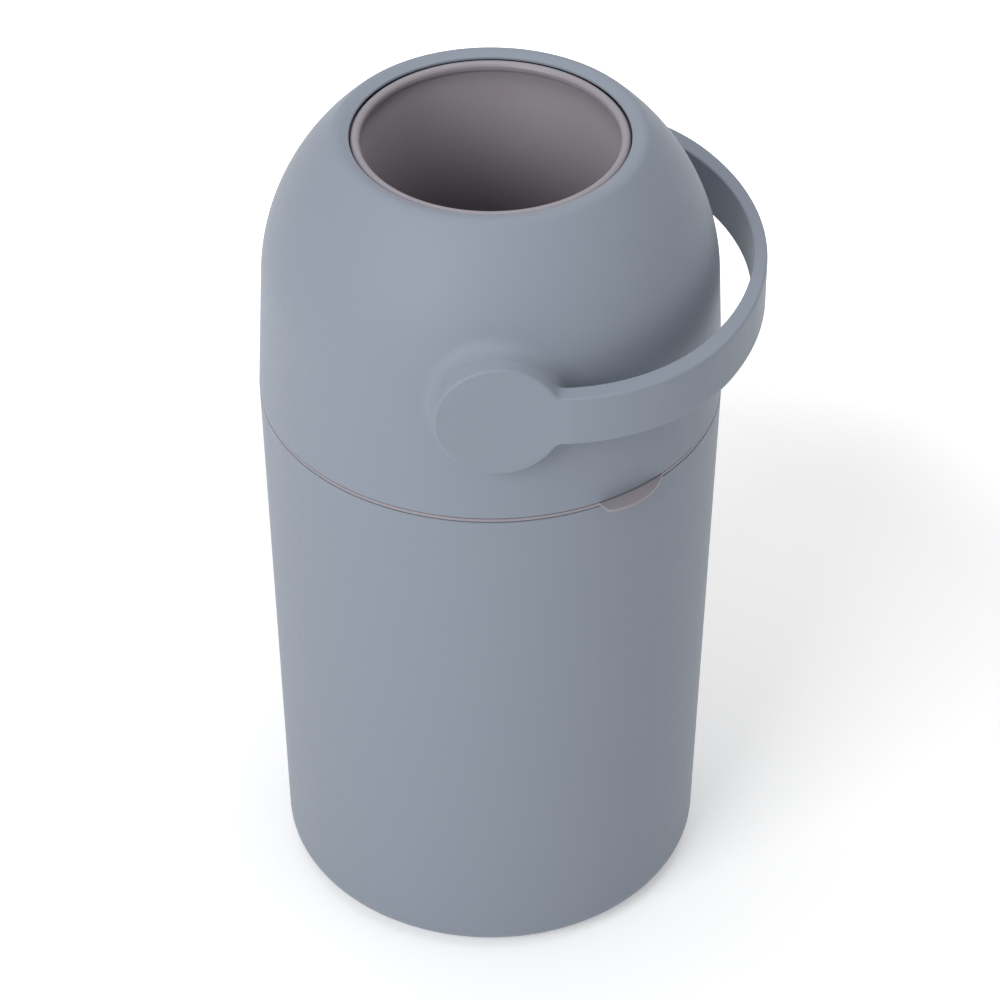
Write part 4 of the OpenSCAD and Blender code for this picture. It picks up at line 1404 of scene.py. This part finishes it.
@dataclass
class Drum:
    """The ball-shaped drum with its two-ended tube and rounded rims."""

    layout: Layout = LAYOUT
    rim_out_r: float = 75.8
    rim_w: float = 5.4
    rim_h: float = 5.6
    rim_soft_r: float = 2.0
    tongue_h: float = 5.9
    tongue_in: float = 0.5
    play: float = 0.1
    tube_in_r: float = 72.6
    tube_t: float = 2.4
    ball_r: float = 113.68
    ball_t: float = 2.4
    mouth_play: float = 0.3
    split_edge: float = 0.15
    split_deg: float = 0.05
    half_columns: int = 121
    ball_steps: int = 48
    screw_r: float = 82.2
    recess_r: float = 2.85
    recess_h: float = 1.3
    recess_sides: int = 48
    columns: int = 256

    def build(self) -> None:
        """Build the tube, the two rims and the two halves of the ball."""
        self.build_tube()
        for name, sign in (("upper", 1.0), ("lower", -1.0)):
            self.build_rim(name, sign)
        for name, sign in (("front", 1.0), ("rear", -1.0)):
            self.build_half(name, sign)

    def build_tube(self) -> None:
        """Build the plain tube between the rims' shoulders."""
        half = self.layout.drum_half - self.rim_h - self.play
        out_r = self.tube_in_r + self.tube_t
        section = trace([(self.tube_in_r, -half), (out_r, -half), (out_r, half), (self.tube_in_r, half)],
                        longest=6.0)
        tube = Sheet()
        tube.add_grid(revolved(section, self.columns, self.layout.pivot_z), True, True)
        # The tube's finish is the mauve darkened: painted shade for the inside of the well.
        tube.piece("drum_tube_smooth", MAUVE_TEXTURED_PAINTED_SHADE, Body.DRUM, ("drum_tube",))

    def build_rim(self, name: str, sign: float) -> None:
        """Build one rounded rim by sweeping its section round the mouth.

        Args:
            name: Which rim it is.
            sign: 1 for the rim above the drum's axis, -1 for the one below it.
        """
        bead, soft = self.rim_w / 2, self.rim_soft_r
        middle = self.rim_out_r - bead
        shoulder = self.layout.drum_half - self.rim_h
        inner = self.tube_in_r + self.tube_t / 2 + self.play
        section = trace([
            Bend((middle, self.layout.drum_half - bead), bead, 0, 180, 16),
            Bend((middle - bead + soft, shoulder + soft), soft, 180, 270, 6),
            (inner, shoulder),
            (inner, shoulder - self.tongue_h),
            (self.rim_out_r - self.tongue_in, shoulder - self.tongue_h),
            (self.rim_out_r - self.tongue_in, shoulder),
            (self.rim_out_r, shoulder),
        ], guard=0.2)
        placed = [(r, self.layout.pivot_z + sign * z) for r, z in section]
        swept_ring(f"rim_{name}_rounded", placed, middle, MAUVE, Body.DRUM, (f"rim_{name}",))

    def build_half(self, name: str, sign: float) -> None:
        """Build one half of the ball's shell, with a shallow groove at the split.

        Args:
            name: Which half it is.
            sign: 1 for the half at -Y, -1 for the other.
        """
        mouth_r = self.rim_out_r + self.mouth_play
        high = math.degrees(math.acos(mouth_r / self.ball_r))
        inner_r = self.ball_r - self.ball_t
        inner_high = math.degrees(math.acos(mouth_r / inner_r))
        section = trace([
            Bend((0.0, 0.0), self.ball_r, -high, high, self.ball_steps),
            Bend((0.0, 0.0), inner_r, inner_high, -inner_high, self.ball_steps),
        ], guard=0.2)
        split, next_to_it = self.split_deg, 5 * self.split_deg
        body = np.linspace(next_to_it, 180.0 - next_to_it, self.half_columns)
        turns = np.concatenate([[split], body, [180.0 - split]])
        rows = []
        for index, turn in enumerate(np.radians(turns)):
            low = self.split_edge if index in (0, len(turns) - 1) else 0.0
            rows.append([
                ((r - (low if np.hypot(r, z) > self.ball_r - 1 else -low)) * math.cos(turn),
                 -sign * (r * math.sin(turn)),
                 z + self.layout.pivot_z)
                for r, z in section
            ])
        shell = Sheet()
        grid = np.array(rows)
        shell.add_grid(grid, False, True)
        count = len(section)
        for row in (0, len(turns) - 1):
            for j in range(count // 2 - 1):
                a, b = row * count + j, row * count + j + 1
                c, d = row * count + count - 2 - j, row * count + count - 1 - j
                shell.faces.append((a, b, c, d))
        cut = self.with_recesses(shell.solid(f"drum_shell_{name}_ball"))
        settle(cut, MAUVE, Body.DRUM, (f"drum_shell_{name}",))

    def with_recesses(self, shell: bpy.types.Object) -> bpy.types.Object:
        """Sink a round recess into a half of the ball at each of its screws, by Geometry Nodes.

        Args:
            shell: The half before it gets its recesses.

        Returns:
            The new object in its place.
        """
        places = place_object("recess_places", self.screw_places(self.ball_r, 1.0))
        cut = grown(shell, recess_tree(), {
            "Places": places,
            "Radius": self.recess_r * MM,
            "Depth": self.recess_h * MM,
            "Sides": self.recess_sides,
            "Material": MAUVE.material(),
        })
        bpy.data.objects.remove(places)
        return cut

    def screw_places(self, reach: float, way: float) -> Places:
        """Work out the places of the shell screws, four round each mouth.

        Args:
            reach: Distance of the places from the ball's centre.
            way: 1 for directions outwards, -1 for directions inwards.

        Returns:
            The places and their directions.
        """
        tilt = math.asin(self.screw_r / self.ball_r)
        found = []
        for end in (1.0, -1.0):
            for turn in (math.radians(a) for a in range(45, 360, 90)):
                out = np.array([
                    math.sin(tilt) * math.cos(turn), math.sin(tilt) * math.sin(turn), end * math.cos(tilt),
                ])
                point = reach * out + (0.0, 0.0, self.layout.pivot_z)
                found.append((tuple(point), tuple(way * out)))
        return found


# ---------------------------------------------------------------------------------------------
# Handle
# ---------------------------------------------------------------------------------------------


@dataclass
class Handle:
    """The bail handle: a strap with rounded edges that widens into a round hub at each end."""

    layout: Layout = LAYOUT
    strap_w: float = 30.0
    strap_t: float = 11.2
    strap_far_t: float = 7.6
    far_in: float = 144.37
    strap_fillet: float = 6.5
    outer_c: float = 30.2
    outer_more: float = 55.7
    inner_c: float = 29.0
    inner_more: float = 43.4
    step_start: float = 24.0
    step_end: float = 40.0
    face_edge: float = 1.5
    back_edge: float = 1.2
    hub_edge: float = 0.12
    edge_guard: float = 0.35
    across: int = 8
    circle_steps: int = 44
    strap_steps: int = 64

    def side(self) -> tuple[np.ndarray, np.ndarray]:
        """Return the upper edge up to the strap, seen along Y: hub circle, then fillet.

        Returns:
            Points of (x, height above the axis) and their outward normals.
        """
        fz = self.strap_w / 2 + self.strap_fillet
        fx = math.sqrt((self.layout.hub_r + self.strap_fillet) ** 2 - fz * fz)
        touch = math.atan2(fz, fx)
        points, normals = [], []
        for a in np.linspace(math.pi, touch, self.circle_steps + 1):
            way = np.array([math.cos(a), math.sin(a)])
            points.append(self.layout.hub_r * way)
            normals.append(way)
        for a in np.linspace(touch + math.pi, 1.5 * math.pi, 9)[1:]:
            way = np.array([math.cos(a), math.sin(a)])
            points.append(np.array([fx, fz]) + self.strap_fillet * way)
            normals.append(-way)
        return np.array(points), np.array(normals)

    def bow(self, face: float, centre: float, more: float, far: float) -> Points:
        """Return one edge of the strap seen from above, from the corner curve's start to the far end.

        Args:
            face: Distance of the edge beside the hub from the middle plane.
            centre: Distance of the corner curve's centre from the middle plane.
            more: How much larger the far curve's radius is.
            far: Distance of the far end from the bin's axis.

        Returns:
            Finely spaced points of (x, y), y negative.
        """
        r2 = face - centre
        r1 = r2 + more
        turn = math.degrees(math.asin(centre / more))
        c1 = (far - r1, 0.0)
        c2 = (c1[0] + more * math.cos(math.radians(turn)), -centre)
        return [
            *Bend(c2, r2, -90, -turn, 160).points(),
            *Bend(c1, r1, -turn, 0, 80).points()[1:],
        ]

    def edges(self) -> tuple[Points, Points]:
        """Work out the strap's edges seen from above.

        Returns:
            The outer and the inner edge, from x = 0 to the far end, as points of (x, y).
        """
        lay = self.layout
        out_face = lay.hub_back + self.strap_t
        outer = [
            (x, -lay.hub_face - (out_face - lay.hub_face) * self.swell(x))
            for x in np.linspace(0, self.step_end, 81)
        ]
        bow = self.bow(out_face, self.outer_c, self.outer_more, self.far_in + self.strap_far_t)
        outer += [p for p in bow if p[0] > self.step_end]
        inner = [(0.0, -lay.hub_back)]
        bow = self.bow(lay.hub_back, self.inner_c, self.inner_more, self.far_in)
        inner += [p for p in bow if p[0] > 0.5]
        return outer, inner

    def swell(self, x: float) -> float:
        """Return how far the outer face has stepped out at a distance from the hub, 0 to 1."""
        part = min(max((x - self.step_start) / (self.step_end - self.step_start), 0.0), 1.0)
        return (1 - math.cos(math.pi * part)) / 2

    def stations(self) -> list[list[Place]]:
        """Work out the cuts through the front half of the handle.

        Returns:
            Closed loops from the front hub's end to the middle of the far end.
        """
        points, normals = self.side()
        outer, inner = (np.array(p) for p in self.edges())
        outer_s, inner_s = (self.lengths(p) for p in (outer, inner))
        x0 = points[-1][0]
        out0, in0 = np.interp(x0, outer[:, 0], outer_s), np.interp(x0, inner[:, 0], inner_s)
        rows = []
        for point, normal in zip(points, normals):
            rows.append(self.station(point, normal, outer, inner))
        for t in np.linspace(0, 1, self.strap_steps + 1)[1:]:
            so = out0 + (outer_s[-1] - out0) * t
            si = in0 + (inner_s[-1] - in0) * t
            o = np.array([np.interp(so, outer_s, outer[:, k]) for k in (0, 1)])
            i = np.array([np.interp(si, inner_s, inner[:, k]) for k in (0, 1)])
            rows.append(self.loop(lambda _, ends=(o, i): ends, self.strap_w / 2, 1.0, self.back_edge))
        return rows

    @staticmethod
    def lengths(points: np.ndarray) -> np.ndarray:
        """Return the length along a path at each of its points."""
        return np.concatenate([[0.0], np.cumsum(np.hypot(*np.diff(points, axis=0).T))])

    def station(
        self, point: np.ndarray, normal: np.ndarray, outer: np.ndarray, inner: np.ndarray
    ) -> list[Place]:
        """Return the closed loop of one cut through the hub or the fillet.

        Args:
            point: The upper edge's point in side view.
            normal: Its outward normal in side view.
            outer: The outer edge seen from above.
            inner: The inner edge seen from above.

        Returns:
            The loop's points.
        """
        def ends(inset: float) -> tuple[np.ndarray, np.ndarray]:
            """Find the strap's outer and inner points near the cut.

            Args:
                inset: Distance from the upper edge, along its normal.

            Returns:
                The outer and the inner point, seen from above.
            """
            x = point[0] - inset * normal[0]
            return (np.array([x, np.interp(x, outer[:, 0], outer[:, 1])]),
                    np.array([x, np.interp(x, inner[:, 0], inner[:, 1])]))

        back = self.hub_edge + (self.back_edge - self.hub_edge) * self.swell(point[0])
        return self.loop(ends, point[1], normal[1], back)

    def loop(
        self, ends: Callable[[float], tuple[np.ndarray, np.ndarray]], height: float, rise: float, back: float
    ) -> list[Place]:
        """Return the closed loop of one cut, from a function that gives its outer and inner points.

        Args:
            ends: Gives the outer and the inner point, seen from above, at an inset.
            height: Half of the cut's height.
            rise: Part of the upper edge's normal along Z.
            back: Radius of the edge that faces the dome.

        Returns:
            The loop's points, from the outer face's lower edge round to the start.
        """
        turns = np.radians(np.linspace(0, 90, 6))
        face = self.face_edge
        upper = [(face * (1 - math.sin(a)), face * (1 - math.cos(a)), 0) for a in turns]
        upper += [(0.0, face + self.edge_guard, 0), (0.0, back + self.edge_guard, 1)]
        upper += [(back * (1 - math.cos(a)), back * (1 - math.sin(a)), 1) for a in turns]
        rim = []
        for inset, depth, from_back in upper:
            o, i = ends(inset)
            length = float(np.hypot(*(i - o)))
            part = 1 - depth / length if from_back else depth / length
            xy = o + (i - o) * part
            rim.append((xy[0], xy[1], height - inset * rise))
        pivot = self.layout.pivot_z
        low = [(x, y, -z) for x, y, z in rim]
        front = [self.between(low[0], rim[0], k / self.across) for k in range(1, self.across)]
        rear = [self.between(rim[-1], low[-1], k / self.across) for k in range(1, self.across)]
        loop = [*front, *rim, *rear, *reversed(low)]
        return [(x, y, z + pivot) for x, y, z in loop]

    @staticmethod
    def between(a: Place, b: Place, part: float) -> Place:
        """Return a point between two others."""
        return tuple(p + (q - p) * part for p, q in zip(a, b))

    def build(self) -> None:
        """Build the handle: the front half's cuts and their mirror image, as one skin."""
        front = np.array(self.stations())
        rear = front[-2::-1] * np.array([1.0, -1.0, 1.0])
        sheet = Sheet()
        sheet.add_grid(np.concatenate([front, rear]), False, True)
        sheet.piece("bail_handle", SOFT_TOUCH, Body.DRUM, ("handle",))


# ---------------------------------------------------------------------------------------------
# Piston
# ---------------------------------------------------------------------------------------------


@dataclass
class Piston:
    """The two dished shells of the loose piston."""

    layout: Layout = LAYOUT
    out_r: float = 71.9
    height: float = 22.0
    wiper_t: float = 2.8
    shell_t: float = 2.4
    dish: float = 2.6
    dish_in: float = 8.5
    dish_r: float = 5.0
    lip_in: float = 2.2
    lip_r: float = 1.0
    gap: float = 0.1
    bottom: float = -81.2
    edge_r: float = 1.2
    columns: int = 192

    def build(self) -> None:
        """Build both shells."""
        depth = (self.height - self.wiper_t) / 2 - self.gap
        middle = self.bottom + self.height / 2
        for name, sign in (("lower", 1.0), ("upper", -1.0)):
            section = trace([
                (0.0, self.dish),
                Bend((self.out_r - self.dish_in, self.dish - self.dish_r), self.dish_r, 90, 60, 6),
                Bend((self.out_r - self.lip_in, self.lip_r), self.lip_r, 240, 270, 3),
                Bend((self.out_r - self.edge_r, self.edge_r), self.edge_r, 270, 360, 5),
                (self.out_r, depth),
                (self.out_r - self.shell_t, depth),
                (self.out_r - self.shell_t, self.dish + self.shell_t),
                (0.0, self.dish + self.shell_t),
            ], guard=0.3)
            rows = revolved(section, self.columns)
            rows[..., 2] = self.layout.pivot_z + middle - sign * (self.height / 2 - rows[..., 2])
            shell = Sheet()
            shell.add_grid(rows, True, False)
            # The piston's finish is the mauve darkened: painted shade, as the piston sits deep in the tube.
            shell.piece(f"piston_{name}_dished", MAUVE_TEXTURED_PAINTED_SHADE, Body.PISTON, (f"piston_{name}",))


# ---------------------------------------------------------------------------------------------
# Screws
# ---------------------------------------------------------------------------------------------


@dataclass(frozen=True)
class ScrewKind:
    """Sizes that all screws of one kind share."""

    shank_r: float
    head_r: float
    head_h: float


SMALL = ScrewKind(1.4, 2.8, 2.0)
PLATE = ScrewKind(1.4, 2.8, 1.2)
PISTON = ScrewKind(1.4, 2.8, 1.6)
SHELL = ScrewKind(1.4, 2.8, 1.1)
LONG = ScrewKind(2.5, 4.5, 3.5)


@dataclass
class Screws:
    """All socket-head screws, a set for each CAD node, which one Geometry Nodes tree makes."""

    layout: Layout = LAYOUT
    drum: Drum = field(default_factory=Drum)
    gap: float = 0.1
    chassis_r: float = 119.4
    piston_r: float = 56.0
    piston_seat: float = 345.4
    plate_r: float = 20.0
    plate_start: float = 116.855
    axle_r: float = 18.0
    axle_start: float = 102.235
    hub_cover: float = 1.505
    bracket_aside: float = 13.0
    bracket_out: float = 125.07
    bracket_z: float = 305.9

    def build(self) -> None:
        """Build the sets, one CAD node after another."""
        lay = self.layout
        chassis = self.upright(self.chassis_r, range(30, 360, 60), lay.ring_bottom - self.gap, 1.0)
        piston = self.upright(self.piston_r, range(30, 360, 120), self.piston_seat, -1.0)
        plate = self.at_hubs(self.plate_r, range(90, 360, 120), self.plate_start)
        axle = self.at_hubs(self.axle_r, range(45, 360, 90), self.axle_start)
        hub = self.at_hubs(0.0, range(1), self.axle_start)
        shell = self.drum.screw_places(self.drum.ball_r - SHELL.head_h - self.gap, -1.0)
        hub_length = lay.hub_face - self.hub_cover - self.axle_start
        self.build_set("chassis_screws", Body.HEAD, SMALL, 12.0, chassis)
        self.build_set("piston_screws", Body.PISTON, PISTON, 15.8, piston)
        self.build_set("stop_plate_screws", Body.HEAD, PLATE, 8.0, plate)
        self.build_set("axle_screws", Body.DRUM, SMALL, 7.4, axle)
        self.build_set("hub_screws", Body.DRUM, LONG, hub_length, hub)
        self.build_set("drum_screws", Body.DRUM, SHELL, 4.5, shell)
        self.build_set("hinge_screws", Body.BASE, SMALL, 5.6, self.at_bracket())

    @staticmethod
    def build_set(node: str, body: Body, kind: ScrewKind, length: float, places: Places) -> None:
        """Build identical screws as one piece in the place of their CAD node.

        Args:
            node: The CAD node.
            body: The body that the screws move with.
            kind: Their sizes.
            length: Length of their shanks.
            places: Where their heads bear, and which way their shanks point.
        """
        base = place_object(f"{node}_socket_head", places)
        screws = grown(base, screw_tree(), {
            "Shank": kind.shank_r * MM,
            "Head": kind.head_r * MM,
            "Height": kind.head_h * MM,
            "Length": length * MM,
            "Material": STEEL.material(),
        })
        settle(screws, STEEL, body, (node,))

    @staticmethod
    def upright(radius: float, angles: range, height: float, rise: float) -> Places:
        """Work out places on a circle about the bin's axis.

        Args:
            radius: Radius of the circle.
            angles: Angles of the places, in degrees.
            height: Height of the places.
            rise: 1 for screws that point up, -1 for screws that point down.

        Returns:
            The places and their directions.
        """
        turns = [math.radians(a) for a in angles]
        return [((radius * math.cos(a), radius * math.sin(a), height), (0.0, 0.0, rise)) for a in turns]

    def at_hubs(self, radius: float, angles: range, distance: float) -> Places:
        """Work out places on a circle about the drum's axis at both hubs, pointing outwards.

        Args:
            radius: Radius of the circle.
            angles: Angles of the places, in degrees.
            distance: Distance from the middle plane.

        Returns:
            The places and their directions.
        """
        found = []
        for side in (-1.0, 1.0):
            for turn in (math.radians(a) for a in angles):
                height = self.layout.pivot_z + radius * math.sin(turn)
                found.append(((radius * math.cos(turn), side * distance, height), (0.0, side, 0.0)))
        return found

    def at_bracket(self) -> Places:
        """Work out the places of the screws that hold the hinge bracket from inside the bucket.

        Returns:
            The places and their directions.
        """
        turn = math.radians(self.layout.tongue_az)
        aside = np.array([math.cos(turn), math.sin(turn), 0.0])
        way = np.array([-math.sin(turn), math.cos(turn), 0.0])
        up = np.array([0.0, 0.0, self.bracket_z])
        return [
            (tuple(x * aside + self.bracket_out * way + up), tuple(way))
            for x in (-self.bracket_aside, self.bracket_aside)
        ]


# ---------------------------------------------------------------------------------------------
# Hidden working parts, stage, lights and camera
# ---------------------------------------------------------------------------------------------


def dress_cad_nodes() -> None:
    """Give every CAD node that stays visible the finish of its slot."""
    slots = {part["node"]: part["material_slot"] for part in frame["record"]["subparts"]}
    for name, node in frame["nodes"].items():
        finish = FINISHES[Slot(slots[name])]
        node.data.materials.clear()
        node.data.materials.append(finish.material())


@dataclass(frozen=True)
class Lamp:
    """A square soft lamp that is aimed at the middle of the bin."""

    name: str
    place: Place
    size: float
    power: float
    aim_z: float = 250.0

    def build(self) -> None:
        """Add the lamp to the scene."""
        data = bpy.data.lights.new(self.name, "AREA")
        data.shape = "SQUARE"
        data.size = self.size * MM
        data.energy = self.power
        lamp = bpy.data.objects.new(self.name, data)
        bpy.context.scene.collection.objects.link(lamp)
        lamp.location = Vector(self.place) * MM
        aim = Vector((0.0, 0.0, self.aim_z)) * MM - lamp.location
        lamp.rotation_euler = aim.to_track_quat("-Z", "Y").to_euler()


@dataclass
class Stage:
    """White floor that keeps the shadow, soft lamps and the photograph's camera."""

    layout: Layout = LAYOUT
    floor_half: float = 6000.0
    floor_white: float = 0.95
    floor_glow: float = 0.29
    shadow_reach: float = 380.0
    ambient: float = 0.34
    distance: float = 1799.5
    height: float = 1356.0
    pitch: float = 38.805
    turn: float = 1.7
    lens: float = 144.0
    shift_x: float = 0.0095
    lamps: tuple[Lamp, ...] = (
        Lamp("front_left_lamp", (-1500.0, -1900.0, 1700.0), 1600.0, 40.5),
        Lamp("top_lamp", (0.0, 300.0, 2600.0), 2000.0, 20.0),
        Lamp("right_lamp", (2000.0, -900.0, 1500.0), 1600.0, 2.5),
    )

    def build(self) -> None:
        """Build the floor, the lamps, the world and the camera."""
        self.build_floor()
        self.build_world()
        for lamp in self.lamps:
            lamp.build()
        self.build_camera()
        bpy.context.scene.view_settings.view_transform = "Standard"

    @staticmethod
    def background_rays(tree: bpy.types.NodeTree, low: float, high: float) -> bpy.types.NodeSocket:
        """Add nodes that tell the rays that show the background from those that light the object.

        Args:
            tree: The node tree of the floor's material or of the world.
            low: Value for the rays that light the object.
            high: Value for rays from the camera, from mirror reflections and through glass.

        Returns:
            The socket that holds the value.
        """
        path = tree.nodes.new("ShaderNodeLightPath")
        seen = path.outputs["Is Camera Ray"]
        for kind in ("Is Glossy Ray", "Is Transmission Ray"):
            either = tree.nodes.new("ShaderNodeMath")
            either.operation = "MAXIMUM"
            tree.links.new(seen, either.inputs[0])
            tree.links.new(path.outputs[kind], either.inputs[1])
            seen = either.outputs[0]
        spread = tree.nodes.new("ShaderNodeMapRange")
        spread.inputs["To Min"].default_value = low
        spread.inputs["To Max"].default_value = high
        tree.links.new(seen, spread.inputs["Value"])
        return spread.outputs["Result"]

    def build_floor(self) -> None:
        """Build the floor, which is white to the camera outside the shadow."""
        half = self.floor_half * MM
        mesh = bpy.data.meshes.new("floor")
        corners = [(-half, -half, 0), (half, -half, 0), (half, half, 0), (-half, half, 0)]
        mesh.from_pydata(corners, [], [(0, 1, 2, 3)])
        floor = bpy.data.objects.new("floor", mesh)
        bpy.context.scene.collection.objects.link(floor)
        material = bpy.data.materials.new("white_floor")
        material.use_nodes = True
        tree = material.node_tree
        shader = tree.nodes["Principled BSDF"]
        shader.inputs["Base Color"].default_value = (*[self.floor_white] * 3, 1)
        shader.inputs["Roughness"].default_value = 0.9
        shader.inputs["Specular IOR Level"].default_value = 0.0
        shader.inputs["Emission Color"].default_value = (1, 1, 1, 1)
        coords = tree.nodes.new("ShaderNodeTexCoord")
        reach = tree.nodes.new("ShaderNodeVectorMath")
        reach.operation = "LENGTH"
        tree.links.new(coords.outputs["Object"], reach.inputs[0])
        rise = tree.nodes.new("ShaderNodeMapRange")
        rise.interpolation_type = "SMOOTHSTEP"
        rise.inputs["From Min"].default_value = self.shadow_reach * MM
        rise.inputs["From Max"].default_value = 2.0 * self.shadow_reach * MM
        rise.inputs["To Min"].default_value = self.floor_glow
        rise.inputs["To Max"].default_value = 1.0
        tree.links.new(reach.outputs["Value"], rise.inputs["Value"])
        seen = tree.nodes.new("ShaderNodeMath")
        seen.operation = "MULTIPLY"
        tree.links.new(self.background_rays(tree, 0.0, 1.0), seen.inputs[0])
        tree.links.new(rise.outputs["Result"], seen.inputs[1])
        tree.links.new(seen.outputs[0], shader.inputs["Emission Strength"])
        mesh.materials.append(material)

    def build_world(self) -> None:
        """Show plain white to the camera and in reflections, and add the room's even light."""
        world = bpy.data.worlds.new("studio")
        bpy.context.scene.world = world
        world.use_nodes = True
        tree = world.node_tree
        background = tree.nodes["Background"]
        background.inputs["Color"].default_value = (1.0, 1.0, 1.0, 1)
        strength = self.background_rays(tree, self.ambient, 1.0)
        tree.links.new(strength, background.inputs["Strength"])

    def build_camera(self) -> None:
        """Place the camera as it was fitted to the photograph."""
        data = bpy.data.cameras.new("camera")
        data.lens = self.lens
        data.sensor_width = 36.0
        data.shift_x = self.shift_x
        data.clip_end = 50.0
        camera = bpy.data.objects.new("camera", data)
        bpy.context.scene.collection.objects.link(camera)
        turn = math.radians(self.turn)
        camera.location = Vector((
            -self.distance * math.sin(turn),
            -self.distance * math.cos(turn),
            self.layout.seam_z + self.height,
        )) * MM
        camera.rotation_euler = (math.radians(90.0 - self.pitch), 0.0, -turn)
        bpy.context.scene.camera = camera


def main() -> None:
    """Build the bin from the floor up, then the stage."""
    logging.basicConfig(level=logging.INFO, format="%(name)s: %(message)s")
    dress_cad_nodes()
    for part in (Bucket(), Dome(), SeamRing(), Drum(), Handle(), Piston(), Screws(), Stage()):
        log.info("building %s", type(part).__name__)
        part.build()


if __name__ == "__main__":
    main()
